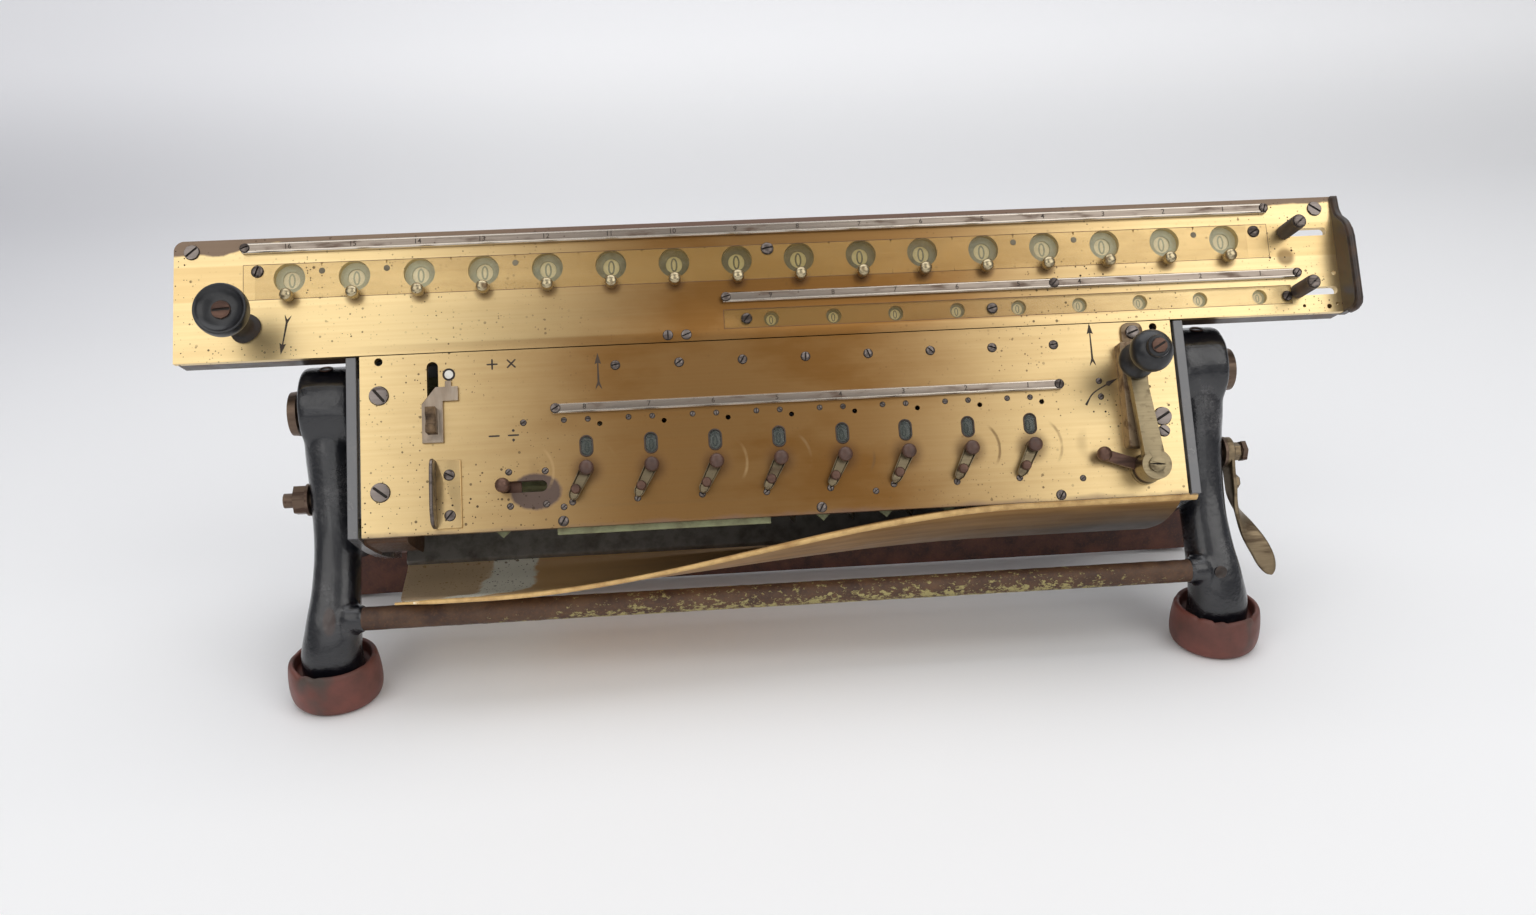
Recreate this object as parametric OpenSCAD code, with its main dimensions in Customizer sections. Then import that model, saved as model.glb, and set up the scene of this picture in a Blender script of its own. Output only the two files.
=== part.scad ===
// Mechanical calculator: a stepped drum machine that tilts in a two legged iron stand.
// Origin: on the floor, below the middle of the machine's whole extent.
// X runs to the right, Y to the back, Z up. All sizes are millimetres at real size.
// Plate frame used inside on_case(): x along the columns, y up the face, z out of the face.

/* [Columns] */
// distance from one dial to the next
pitch = 25.4; // [25.3:0.1:25.5]
// diameter of the round windows of the result row
result_window_d = 12.4; // [11:0.1:13]
// diameter of the round windows of the counter row
counter_window_d = 6.2; // [5:0.1:7]
// width of the long windows of the setting row
setting_window_w = 4.4; // [4:0.1:4.8]
// height of the long windows of the setting row
setting_window_h = 7.7; // [7:0.1:8.2]

/* [Case] */
// half of the width of the face plate
half_w = 163.7; // [163:0.1:164.5]
// lean of the face plate from the vertical, degrees
plate_lean = 32; // [30:1:34]
// height of the trunnion axis above the floor
axis_h = 107; // [105:1:110]
// length of the face below the carriage, measured up the plate
body_len = 71.9; // [71:0.1:73]
// thickness of the face plates
plate_t = 3; // [2.5:0.1:3.2]
// depth of the case behind the face plate
case_depth = 78; // [76:1:80]
// thickness of the two end plates
end_t = 4; // [3:0.1:4]

/* [Carriage] */
// length of the carriage to the left of its middle
carriage_left = 235.3; // [233:0.1:240]
// length of the carriage to the right of its middle
carriage_right = 238; // [236:0.1:242]
// width of the carriage up the plate
carriage_len = 49.7; // [49:0.1:51]
// height of the end guard over the plate
guard_h = 11; // [8:0.5:12]
// depth of the carriage front rail below the plate
rail_drop = 8.5; // [6:0.5:10]
// radius of the guide rod at the back
guide_r = 4; // [3.5:0.1:4.2]

/* [Mechanism] */
// outer radius of a stepped drum
drum_r = 10.2; // [9.8:0.1:10.4]
// radius of a drum below its teeth
drum_core_r = 7.6; // [7:0.1:7.8]
// length of one step of the drum teeth
drum_step = 3.2; // [3:0.05:3.25]
// side of a square shaft
square_a = 4; // [3.5:0.1:4.2]
// radius of the main shaft
main_r = 3; // [2.6:0.1:3.2]
// radial running clearance of a shaft in its hole
run_gap = 0.05; // [0.03:0.01:0.08]

/* [Controls] */
// distance from the crank axis to the crank knob
crank_throw = 41.7; // [40:0.1:43]
// diameter of the crank knob
crank_knob_d = 15.9; // [14:0.1:17]
// diameter of the lift knob of the carriage
lift_knob_d = 21.6; // [19:0.1:23]
// diameter of a twirl knob
twirl_d = 5; // [4.4:0.1:5.2]
// radius of the track of a setting crank tip
setting_throw = 11.5; // [11:0.1:11.5]

/* [Stand] */
// distance of the front feet in front of the trunnion axis
foot_front = 44; // [43:0.5:46]
// distance of the rear bar behind the trunnion axis
bar_back = 41; // [39:1:44]
// outer diameter of a rubber foot
foot_d = 38.4; // [37:0.2:40]
// height of a rubber foot
foot_h = 18; // [17:0.5:19]
// radius of the boss round the trunnion
boss_r = 16; // [15:0.1:16.2]
// radius of the front rod
rod_r = 4.2; // [3.8:0.1:4.3]

/* [Hidden] */
$fn = 48;
dials = 16;
counters = 9;
settings = 8;
// named clearances
seam = 0.4;
lay_gap = 0.3;
pin_gap = run_gap;
// case outline in the plate frame
end_in = half_w + 1.5;
end_out = end_in + end_t;
face_top = -33.3;
face_bot = face_top - body_len;
trun_y = -50;
trun_z = -24;
trun_r = 6;
back_z = -case_depth;
belly_back = -103;
// carriage outline
car_bot = face_top + seam;
car_top = car_bot + carriage_len;
guide_y = 13;
guide_z = -34;
tube_r = guide_r + 2.5;
lug_r = 9.5;
lug_u = [-70, 20];
lug_w = 8;
bridge_z = -19;
bridge_t = 2;
// rows
dial_y = -8;
dial_r = 12.2;
counter_y = -24.95;
counter_axis = -18.5;
counter_r = 8.8;
set_y = -73.4;
set_axis = -82.7;
set_rest = 242;
row_left = dial_u(0);
row_right = dial_u(dials - 1);
count_right = counter_u(counters - 1);
// walls under the carriage plate, outside the last dial of each row
upper_wall = row_right + dial_r + 1.8;
lower_wall = count_right + counter_r + 0.5;
wall_t = 4;
// clearing posts, reversing slider and clearing lever
pin_a = count_right + 13;
pin_b = count_right + 15.8;
rev_u = -half_w + 28.3;
clear_u = drum_u(0) - 32.2;
// drive
crank_u = half_w - 16.9;
crank_y = -94.5;
main_z = -46;
crank_rest_angle = 95.9;
arm_top = 13.8;
knob_len = 25.2;
bevel_r = 8;
bevel_f = 2.2;
square_z = -36;
rail_a = -84;
rail_b = -40;
rail_t = 4;
// stand
boss_in = end_out + 0.8;
boss_out = boss_in + 23;
leg_in = end_out + 2.3;
leg_w = 19;
foot_x = leg_in + 12.5;
clamp_y = -15;
clamp_z = axis_h - 32;
clamp_r = 3;
// tilt of the case in its stand, forward and in all
tilt_down = 4;
tilt_span = 23;
// reach of the machine to each side of the trunnion's middle, and the middle of that extent
guard_t = 2.8;
front_reach = foot_front + foot_d / 2;
back_reach = (16 - trun_y) * sin(plate_lean) + (case_depth - 24 + trun_z) * cos(plate_lean);
middle_x = (carriage_right + guard_t - carriage_left) / 2;
middle_y = (back_reach - front_reach) / 2;
rod_y = -foot_front - 2;
rod_z = axis_h - 72;
bar_t = 6;
bar_h = 16.5;

function drum_u(i) = (i - 3) * pitch;
function dial_u(j) = (j - 7.5) * pitch;
function counter_u(k) = k * pitch;
function ease(t) = t <= 0 ? 0 : t >= 1 ? 1 : t * t * (3 - 2 * t);
function mix(a, b, t) = a * (1 - t) + b * t;

// places children, drawn round the foot of the trunnion's middle, so that the whole stands on the origin
module on_floor() {
  translate([-middle_x, -middle_y, 0]) children();
}

// places children, drawn in the plate frame, on the leaning case
module on_case() {
  on_floor() translate([0, 0, axis_h]) rotate([90 - plate_lean, 0, 0]) translate([0, -trun_y, -trun_z])
    children();
}

// extrudes a profile drawn as x up the plate and y out of it, t along the columns from u
module across(u, t) {
  translate([u, 0, 0]) rotate([90, 0, 90]) linear_extrude(t) children();
}

// round bar along the columns
module bar_u(u, y, z, r, t) {
  translate([u, y, z]) rotate([0, 90, 0]) cylinder(r = r, h = t);
}

// round bar up the plate
module bar_v(u, y, z, r, t) {
  translate([u, y, z]) rotate([-90, 0, 0]) cylinder(r = r, h = t);
}

// plan of a slot along x with round ends
module slot2d(a, b, w) {
  translate([a, -w / 2]) square([b - a, w]);
  translate([a, 0]) circle(d = w);
  translate([b, 0]) circle(d = w);
}

// slotted cheese head screw on the plate
module screw(u, y, r, h, a) {
  translate([u, y, 0]) difference() {
    cylinder(r = r, h = h, $fn = 24);
    rotate(a) translate([-r - 1, -r * 0.13, h * 0.45]) cube([2 * r + 2, r * 0.26, h]);
  }
}

// bevel gear with ten straight teeth, its cone points up and its big end is at z = 0
module bevel(phase) {
  difference() {
    union() {
      cylinder(r1 = bevel_r + 0.85, r2 = bevel_r + 0.85 - bevel_f, h = bevel_f);
      translate([0, 0, -2]) cylinder(r = bevel_r * 0.72, h = 2);
    }
    for (k = [0 : 9]) {
      rotate(k * 36 + phase) translate([bevel_r - bevel_f / 2, 0, bevel_f / 2]) rotate([0, 45, 0])
        translate([-4, -1.65, -0.9]) cube([8, 3.3, 4]);
    }
  }
}

// stand

module leg_side() {
  // one casting seen from the side: x to the back, y up
  translate([0, axis_h]) circle(r = boss_r);
  polygon([[-14.8, axis_h - 6], [-18.5, axis_h - 17], [-24.5, axis_h - 29], [-32, axis_h - 41],
    [-40, axis_h - 53], [-47, axis_h - 64], [-52.5, axis_h - 74], [-foot_front - 11.5, foot_h + 8],
    [-foot_front - 12, foot_h + 0.8], [-foot_front + 12, foot_h + 0.8], [-foot_front + 11.8, foot_h + 8],
    [-29, axis_h - 71], [-24, axis_h - 61], [-17, axis_h - 51.5], [-9.5, axis_h - 44], [-3, axis_h - 39.5],
    [3, axis_h - 38], [8.5, axis_h - 40.5], [13, axis_h - 46], [18, axis_h - 56], [23, axis_h - 70],
    [26.5, axis_h - 84], [bar_back - 12, 9], [bar_back - 14, 3], [bar_back - 14, 0],
    [bar_back + 10, 0], [bar_back + 10, 4], [bar_back + 8, 13], [bar_back + 1, axis_h - 78],
    [33, axis_h - 56], [25, axis_h - 34], [18.5, axis_h - 18], [15.6, axis_h - 4]]);
}

module casting(s) {
  mirror([s < 0 ? 1 : 0, 0, 0]) difference() {
    union() {
      translate([leg_in, 0, 0]) rotate([90, 0, 90]) linear_extrude(leg_w) leg_side();
      translate([boss_in, 0, axis_h]) rotate([0, 90, 0]) cylinder(r = boss_r, h = boss_out - boss_in);
      translate([foot_x, -foot_front, 6]) cylinder(r = 12.5, h = foot_h);
      translate([foot_x, -foot_front, foot_h + 6]) cylinder(r1 = 12.5, r2 = 10, h = 14);
      translate([leg_in - 4, rod_y + 1, rod_z]) rotate([0, 90, 0]) cylinder(r = 8.2, h = 6);
    }
    translate([boss_in - 5, 0, axis_h]) rotate([0, 90, 0]) cylinder(r = trun_r, h = 50);
    translate([boss_in + 11, 0, axis_h]) cylinder(r = 1.8, h = boss_r + 5, $fn = 24);
    translate([leg_in - 6, clamp_y, clamp_z]) rotate([0, 90, 0]) cylinder(r = clamp_r, h = 50);
    translate([leg_in - 6, rod_y, rod_z]) rotate([0, 90, 0]) cylinder(r = rod_r, h = 14);
    translate([foot_x - 1, -foot_front - 7, rod_z]) rotate([90, 0, 0]) cylinder(r = 2.4, h = 12, $fn = 24);
  }
}

module stand_castings() {
  color([0.16, 0.16, 0.17]) on_floor() {
    casting(1);
    casting(-1);
  }
}

module front_rod() {
  color([0.35, 0.26, 0.18]) on_floor() translate([-leg_in - 8, rod_y, rod_z]) rotate([0, 90, 0])
    cylinder(r = rod_r, h = 2 * leg_in + 16);
}

module rear_bar() {
  color([0.3, 0.17, 0.13]) on_floor() translate([-leg_in, bar_back - bar_t / 2, 0])
    cube([2 * leg_in, bar_t, bar_h]);
}

module rubber_foot() {
  rotate_extrude() polygon([[0, 0], [foot_d / 2 - 4, 0], [foot_d / 2 - 1.6, 1.4], [foot_d / 2 - 0.4, 4],
    [foot_d / 2, 7.5], [foot_d / 2 - 0.3, 12], [foot_d / 2 - 1, foot_h - 1], [foot_d / 2 - 1.5, foot_h],
    [foot_d / 2 - 3.4, foot_h], [foot_d / 2 - 3.6, foot_h - 5], [12.5, foot_h - 5.5], [12.5, 6], [0, 6]]);
}

module rubber_feet() {
  color([0.3, 0.15, 0.12]) on_floor() {
    translate([foot_x, -foot_front, 0]) rubber_foot();
    translate([-foot_x, -foot_front, 0]) rubber_foot();
  }
}

module hex(af, t) {
  linear_extrude(t) circle(r = af / 2 / cos(30), $fn = 6);
}

module stand_fixings() {
  color([0.42, 0.36, 0.32]) on_floor() {
    for (s = [0, 1]) mirror([s, 0, 0]) {
      translate([end_in, 0, axis_h]) rotate([0, 90, 0]) cylinder(r = trun_r, h = boss_out - end_in);
      translate([boss_out, 0, axis_h]) rotate([0, 90, 0]) cylinder(r1 = 9.3, r2 = 8.9, h = 3.4);
      translate([end_in - 3.3, clamp_y, clamp_z]) rotate([0, 90, 0]) cylinder(r = 5.2, h = 3);
      translate([end_in - 0.3, clamp_y, clamp_z]) rotate([0, 90, 0])
        cylinder(r = clamp_r, h = leg_in + leg_w + 11 - end_in);
      translate([leg_in + leg_w, clamp_y, clamp_z]) rotate([0, 90, 0]) cylinder(r = 6.6, h = 1.2);
    }
    translate([-leg_in - leg_w - 1.2, clamp_y, clamp_z]) rotate([0, -90, 0]) hex(11, 5);
    translate([leg_in + leg_w + 8.6, clamp_y, clamp_z]) rotate([0, 90, 0]) hex(8, 2);
  }
}

module clamp_lever() {
  color([0.6, 0.56, 0.48]) on_floor() translate([leg_in + leg_w + 1.5, clamp_y, clamp_z]) difference() {
    union() {
      rotate([0, 90, 0]) cylinder(r = 6.2, h = 6.8);
      rotate([-121, 0, 0]) translate([0, 0, -4]) linear_extrude(8)
        polygon([[0.4, 0], [5.4, 0], [6, 12], [9, 24], [16, 38], [17.6, 46], [17.6, 56],
          [15, 57], [13.2, 47], [11, 40], [4.6, 27], [0.9, 14]]);
    }
    translate([-1, 0, 0]) rotate([0, 90, 0]) cylinder(r = clamp_r + pin_gap, h = 12);
  }
}

// case

module face_plate() {
  color([0.8, 0.66, 0.4]) on_case() translate([0, 0, -plate_t]) linear_extrude(plate_t) difference() {
    translate([-half_w, face_bot]) square([2 * half_w, body_len]);
    for (i = [0 : settings - 1]) translate([drum_u(i), 0]) {
      translate([0, set_y]) rotate(90) slot2d(-(setting_window_h - setting_window_w) / 2,
        (setting_window_h - setting_window_w) / 2, setting_window_w);
      translate([0, set_axis]) circle(r = 2 + pin_gap);
      translate([5.6, -64.7]) circle(r = 1, $fn = 16);
    }
    translate([crank_u, crank_y]) circle(r = 4 + pin_gap);
    translate([rev_u, 0]) rotate(90) slot2d(-65, -38.9, 4.4);
    translate([clear_u, -88.3]) slot2d(-0.3, 14.1, 4.6);
    translate([rev_u + 6.4, -42.1]) circle(r = 2.1);
    for (s = [-1, 1]) translate([s * (half_w - 7.4), face_top - 2.5]) circle(r = 1.6, $fn = 24);
  }
}

module end_profile() {
  difference() {
    polygon([[face_top, -0.6], [face_bot, -0.6], [face_bot - 1.6, -12], [face_bot - 2.8, -28],
      [face_bot - 3.2, -44], [face_bot - 2.6, -60], [face_bot - 1, back_z], [-36, back_z],
      [-20, back_z + 4], [16, back_z + 24], [22, back_z + 30], [23.5, -34], [22, -28], [18, -26],
      [face_top, -26]]);
    translate([trun_y, trun_z]) circle(r = trun_r + pin_gap);
    translate([guide_y, guide_z]) circle(r = guide_r);
    translate([crank_y, main_z]) circle(r = main_r + pin_gap);
    translate([trun_y, trun_z]) tilt_slot();
  }
}

// slot in an end plate, along the chord of the arc that the clamp bolt runs on while the case tilts
module tilt_slot() {
  r = norm([clamp_y, clamp_z - axis_h]);
  a = atan2(clamp_z - axis_h, clamp_y) - (90 - plate_lean);
  half = tilt_span / 2;
  l = r * sin(half);
  rotate(a + half - tilt_down - 2) translate([r * (1 + cos(half)) / 2, 0]) rotate(90)
    slot2d(-l, l, 2 * clamp_r + 0.8 + r * (1 - cos(half)));
}

module end_plates() {
  color([0.14, 0.14, 0.15]) on_case() for (s = [0, 1]) mirror([s, 0, 0]) {
    across(end_in, end_t) end_profile();
    // ledge that the face plate is screwed to
    translate([half_w - 9, face_bot + 8, -plate_t - 5]) cube([end_in - half_w + 9, body_len - 16, 5]);
  }
}

module back_cover() {
  color([0.14, 0.14, 0.15]) on_case() across(-end_in, 2 * end_in)
    polygon([[belly_back, back_z + 1.5], [-36.2, back_z + 1.5], [-20.6, back_z + 5.4], [14, back_z + 24.6],
      [13.3, back_z + 25.8], [-21.2, back_z + 6.6], [-36.5, back_z + 2.8], [belly_back, back_z + 2.8]]);
}

// the thin sheet under the case: fixed along its back and its right half, sprung open at the left
function belly_y(t, f) = mix(lookup(t, [[0, belly_back - 1], [0.12, -108.6], [0.3, -112.6], [0.5, -113.6],
  [0.7, -112.6], [0.88, -109.4], [1, face_bot - 1.2]]),
  lookup(t, [[0, belly_back - 1], [0.12, -112], [0.3, -122.6], [0.5, -127], [0.7, -128.8],
  [0.88, -130], [1, -130.4]]), f);
function belly_z(t, f) = mix(lookup(t, [[0, back_z + 1], [0.12, back_z + 4], [0.3, -58], [0.5, -42],
  [0.7, -26], [0.88, -11], [1, -3.2]]),
  lookup(t, [[0, back_z + 1], [0.12, back_z + 5], [0.3, -56], [0.5, -42], [0.7, -27], [0.88, -14],
  [1, -6]]), f);

module belly_cover() {
  n = 28;
  m = 16;
  t = 0.8;
  us = [for (i = [0 : n]) -end_in + 3 + (2 * end_in - 6) * i / n];
  fs = [for (u = us) 1 - ease((u + 120) / 215)];
  ps = [for (i = [0 : n]) [for (j = [0 : m]) [belly_y(j / m, fs[i]), belly_z(j / m, fs[i])]]];
  ns = [for (i = [0 : n]) [for (j = [0 : m])
    let (a = ps[i][max(j - 1, 0)], b = ps[i][min(j + 1, m)], d = (b - a) / norm(b - a)) [d[1], -d[0]]]];
  top = [for (i = [0 : n]) for (j = [0 : m]) [us[i], ps[i][j][0], ps[i][j][1]]];
  low = [for (i = [0 : n]) for (j = [0 : m])
    [us[i], ps[i][j][0] - t * ns[i][j][0], ps[i][j][1] - t * ns[i][j][1]]];
  w = m + 1;
  k = (n + 1) * w;
  faces = concat(
    [for (i = [0 : n - 1]) for (j = [0 : m - 1]) [i * w + j, i * w + j + 1, (i + 1) * w + j]],
    [for (i = [0 : n - 1]) for (j = [0 : m - 1]) [i * w + j + 1, (i + 1) * w + j + 1, (i + 1) * w + j]],
    [for (i = [0 : n - 1]) for (j = [0 : m - 1]) [k + i * w + j, k + (i + 1) * w + j, k + i * w + j + 1]],
    [for (i = [0 : n - 1]) for (j = [0 : m - 1])
      [k + i * w + j + 1, k + (i + 1) * w + j, k + (i + 1) * w + j + 1]],
    [for (j = [0 : m - 1]) [j, k + j, j + 1]],
    [for (j = [0 : m - 1]) [j + 1, k + j, k + j + 1]],
    [for (j = [0 : m - 1]) [n * w + j, n * w + j + 1, k + n * w + j]],
    [for (j = [0 : m - 1]) [n * w + j + 1, k + n * w + j + 1, k + n * w + j]],
    [for (i = [0 : n - 1]) [i * w, (i + 1) * w, k + i * w]],
    [for (i = [0 : n - 1]) [(i + 1) * w, k + (i + 1) * w, k + i * w]],
    [for (i = [0 : n - 1]) [i * w + m, k + i * w + m, (i + 1) * w + m]],
    [for (i = [0 : n - 1]) [(i + 1) * w + m, k + i * w + m, k + (i + 1) * w + m]]);
  color([0.72, 0.58, 0.34]) on_case() polyhedron(points = concat(top, low), faces = faces);
}

module bearing_rail(y) {
  translate([-end_in, y, -58]) difference() {
    cube([2 * end_in, rail_t, 28]);
    translate([-1, -1, 14]) cube([16, rail_t + 2, 20]);
    translate([2 * end_in - 15, -1, 14]) cube([16, rail_t + 2, 20]);
  }
}

module bearing_rails() {
  color([0.62, 0.66, 0.5]) on_case() {
    for (y = [rail_a, rail_b]) difference() {
      bearing_rail(y);
      for (i = [0 : settings - 1]) {
        bar_v(drum_u(i), y - 1, main_z, 2 + pin_gap, rail_t + 2);
        bar_v(drum_u(i) + pitch / 2, y - 1, square_z, square_a * 0.72, rail_t + 2);
      }
    }
    // comb rail along the bottom of the face with its pointed tabs
    translate([-end_in, face_bot + 1, -9]) cube([2 * end_in, 4, 1.6]);
    for (i = [-1 : settings - 1]) translate([drum_u(i) - 9, face_bot + 1, -9]) linear_extrude(1.6)
      polygon([[-3.2, 0], [3.2, 0], [0, -3]]);
    translate([-3.5 * pitch, face_bot - 2.4, -plate_t - 1.4]) cube([3.3 * pitch, 6, 1.4]);
  }
}

module guide_rod() {
  color([0.6, 0.6, 0.6]) on_case() bar_u(-end_out, guide_y, guide_z, guide_r, 2 * end_out);
}

// raised scale bar with its lower and upper edges chamfered
module scale_bar(u0, u1, y) {
  across(u0, u1 - u0) translate([y, 0])
    polygon([[-1.9, 0], [1.9, 0], [1.9, 1.2], [1.3, 2.2], [-0.9, 2.2], [-1.9, 1.4]]);
}

module face_fittings() {
  color([0.6, 0.57, 0.52]) on_case() {
    scale_bar(drum_u(0) - 12.6, drum_u(settings - 1) + 14.2, -58.1);
    // screws
    for (p = [[-1, -49.4], [-1, -87.8], [1, -73.1]]) screw(p[0] * (half_w - 7.4), p[1], 3.6, 1, -45);
    screw(half_w - 7.4, -79.1, 2.2, 1, -40);
    for (i = [0 : settings - 1]) {
      screw(drum_u(i) + 12.7, -41.4, 1.6, 0.8, 20 * i);
      screw(drum_u(i) - 8.4, -62.6, 1.1, 0.6, 30 * i);
      screw(drum_u(i) + 1, -62.6, 1.1, 0.6, 50 * i);
    }
    for (p = [[-86.2, -102.7], [15.2, -102.7], [111.6, -103]]) screw(p[0], p[1], 1.8, 0.7, 60);
    for (p = [[1.6, -82.3], [15.8, -82.5], [1.9, -95.8], [15.9, -95.6]])
      screw(clear_u + p[0], p[1], 1.1, 0.5, 35);
    for (p = [[-85.8, -97.1], [37.2, -97.4], [121.1, -96.7], [131.6, -57.3], [131.8, -63.8], [-100.5, -62.9]])
      screw(p[0], p[1], 1.1, 0.5, 35);
    // bracket with its upright fin
    translate([rev_u + 0.8, -103.3, 0]) cube([9.5, 27, 1.1]);
    across(rev_u - 0.6, 1.4) polygon([[-103.3, 0], [-76.3, 0], [-76.3, 6.5], [-78.5, 8.2], [-84, 9],
      [-97, 9], [-101.5, 7.5], [-103.3, 4]]);
    translate([0, 0, 1.1]) screw(rev_u + 5.8, -82.4, 1.8, 0.9, -30);
    translate([0, 0, 1.1]) screw(rev_u + 5.8, -98.3, 1.8, 0.9, 50);
    // collar round the crank shaft
    translate([crank_u, crank_y, 0]) difference() {
      cylinder(r = 6.2, h = 2.5);
      translate([0, 0, -1]) cylinder(r = 4 + pin_gap, h = 5);
    }
    // rest plate under the crank
    translate([crank_u - 7.4, -85.9, 0]) cube([10.4, 43, 6.5]);
    translate([crank_u - 4.4, -43.4, 0]) cube([9, 9.6, 1.4]);
    translate([0, 0, 1.4]) screw(crank_u + 0.2, -38, 2.6, 1.4, 20);
  }
}

// mechanism

module pinion2d(r, n) {
  circle(r = r - 1.6);
  for (k = [0 : n - 1]) rotate(k * 360 / n) translate([r - 2.4, -0.7]) square([2.4, 1.4]);
}

module square_shafts() {
  color([0.62, 0.58, 0.5]) on_case() for (i = [0 : settings - 1]) translate([drum_u(i) + pitch / 2, 0, square_z]) {
    translate([-square_a / 2, -87, -square_a / 2]) cube([square_a, 89, square_a]);
    translate([0, -78.6, 0]) rotate([-90, 0, 0]) linear_extrude(4) pinion2d(7.2, 10);
    translate([0, -78.6 + 4, 0]) rotate([-90, 0, 0]) cylinder(r = 4.2, h = 9);
    // pair of bevel wheels that turn the dial one way or the other
    translate([0, -18, 0]) rotate([-90, 0, 0]) cylinder(r1 = 10, r2 = 7.5, h = 2.5);
    translate([0, -15.5, 0]) rotate([-90, 0, 0]) cylinder(r = 4.4, h = 15);
    translate([0, -0.5, 0]) rotate([-90, 0, 0]) cylinder(r1 = 7.5, r2 = 10, h = 2.5);
  }
}

module main_shaft() {
  color([0.62, 0.6, 0.55]) on_case() union() {
    bar_u(-end_out - 0.5, crank_y, main_z, main_r, 2 * end_out + 1);
    for (i = [0 : settings - 1]) translate([drum_u(i) + bevel_r, crank_y, main_z])
      rotate([-90, 0, 0]) rotate([0, -90, 0]) bevel(18);
    translate([crank_u - bevel_r, crank_y, main_z]) rotate([180, 0, 0]) rotate([0, 90, 0]) bevel(18);
  }
}

module drum(i) {
  color([0.74, 0.6, 0.34]) on_case() translate([drum_u(i), 0, main_z]) {
    // shaft with its bevel wheel below
    bar_v(0, -90, 0, 2, 55);
    translate([0, crank_y + bevel_r, 0]) rotate([90, 0, 0]) bevel(0);
    // core
    bar_v(0, -79.4, 0, drum_core_r, 37.8);
    // nine teeth, each one step longer than the last
    for (k = [1 : 9]) rotate([0, k * 22, 0]) translate([0, -44.8 - k * drum_step, 0])
      rotate([-90, 0, 0]) linear_extrude(3.2 + k * drum_step)
      polygon([[drum_core_r - 0.6, -1], [drum_r, -0.6], [drum_r, 0.6], [drum_core_r - 0.6, 1]]);
  }
}

module setting(i) {
  color([0.62, 0.58, 0.5]) on_case() translate([drum_u(i), set_axis, 0]) {
    translate([0, 0, -14]) cylinder(r = 2, h = 16);
    translate([0, 0, -plate_t - 1.7]) cylinder(r = dial_r, h = 1.1);
    translate([0, 0, -13]) linear_extrude(3) pinion2d(5, 8);
    translate([0, 0, lay_gap]) cylinder(r = 2.85, h = 4.6);
    intersection() {
      translate([0, 0, 3.2]) sphere(r = 3.3);
      translate([-3, -3, lay_gap + 4.6]) cube([6, 6, 3]);
    }
    rotate(set_rest) {
      translate([0, -1.7, 2.2]) cube([setting_throw, 3.4, 1.2]);
      translate([setting_throw, 0, lay_gap]) cylinder(r = 1.1, h = 3.1, $fn = 24);
      translate([8.8, 0, 3.4]) cylinder(r1 = 1.5, r2 = 2.2, h = 2.6, $fn = 32);
      translate([8.8, 0, 6]) cylinder(r1 = 2.2, r2 = 1.2, h = 1.2, $fn = 32);
    }
  }
}

module crank() {
  color([0.75, 0.68, 0.56]) on_case() translate([crank_u, crank_y, 0]) {
    translate([0, 0, -38]) cylinder(r = 4, h = 43);
    translate([0, 0, main_z + bevel_r]) rotate([0, 180, 0]) bevel(0);
    translate([0, 0, 5]) cylinder(r = 5.9, h = 9);
    translate([0, 0, 14]) difference() {
      cylinder(r = 3.2, h = 1);
      translate([-4, -0.4, 0.4]) cube([8, 0.8, 1]);
    }
    rotate(crank_rest_angle) {
      translate([0, 0, 9.6]) linear_extrude(arm_top - 9.6) {
        polygon([[3, -4], [crank_throw, -3.05], [crank_throw, 3.05], [3, 4]]);
        translate([crank_throw, 0]) circle(r = 3.3);
      }
      translate([crank_throw, 0, arm_top - 1]) cylinder(r = 2, h = knob_len + 2 * lay_gap + 1);
      translate([crank_throw, 0, arm_top + knob_len + 2 * lay_gap]) cylinder(r = 3.2, h = 1);
    }
  }
}

module crank_knob() {
  r = crank_knob_d / 2;
  color([0.1, 0.1, 0.1]) on_case() translate([crank_u, crank_y, 0]) rotate(crank_rest_angle)
    translate([crank_throw, 0, arm_top + lay_gap]) rotate_extrude()
    polygon(concat([[2 + pin_gap, 0], [5.6, 0], [6.7, 0.8], [6.8, 1.8], [6.2, 3.2], [5, 5.6], [4.5, 8],
      [4.5, 10.2], [5.2, 12]], [for (a = [-42 : 12 : 66]) [r * cos(a), 18 + r * 0.84 * sin(a)]],
      [[3.4, knob_len], [3.3, knob_len - 0.6], [2 + pin_gap, knob_len - 0.6]]));
}

module stop_lever() {
  color([0.45, 0.35, 0.3]) on_case() translate([crank_u, crank_y, 0]) rotate(160) union() {
    translate([0, 0, 2.8]) linear_extrude(1.9) difference() {
      union() {
        circle(r = 5.6);
        translate([0, -2.2]) square([18.6, 4.4]);
      }
      circle(r = 4 + pin_gap);
    }
    translate([18.8, 0, 5.2]) sphere(r = 3);
    translate([18.8, 0, 0.8]) cylinder(r = 2, h = 4);
  }
}

module reversing_slider() {
  color([0.68, 0.62, 0.56]) on_case() translate([rev_u, 0, 0]) {
    translate([0, 0, lay_gap]) linear_extrude(1.2) polygon([[-4.2, -53.8], [1.2, -47.2], [5, -47.2],
      [5, -44.9], [7.4, -44.9], [7.4, -47.2], [10, -47.2], [10, -52.9], [4, -52.9], [4, -69.4], [-4.2, -69.4]]);
    translate([-1.9, -66.2, 1.2]) difference() {
      cube([3.9, 10.2, 6]);
      translate([-1, 5.1, 7.5]) rotate([0, 90, 0]) cylinder(r = 2.6, h = 6);
    }
    translate([-1.5, -66.2, -plate_t - 1.8]) cube([3, 10.2, plate_t + 2.4]);
    translate([-4.5, -67.2, -plate_t - 1.8]) cube([9, 12.2, 1.4]);
  }
}

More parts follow.
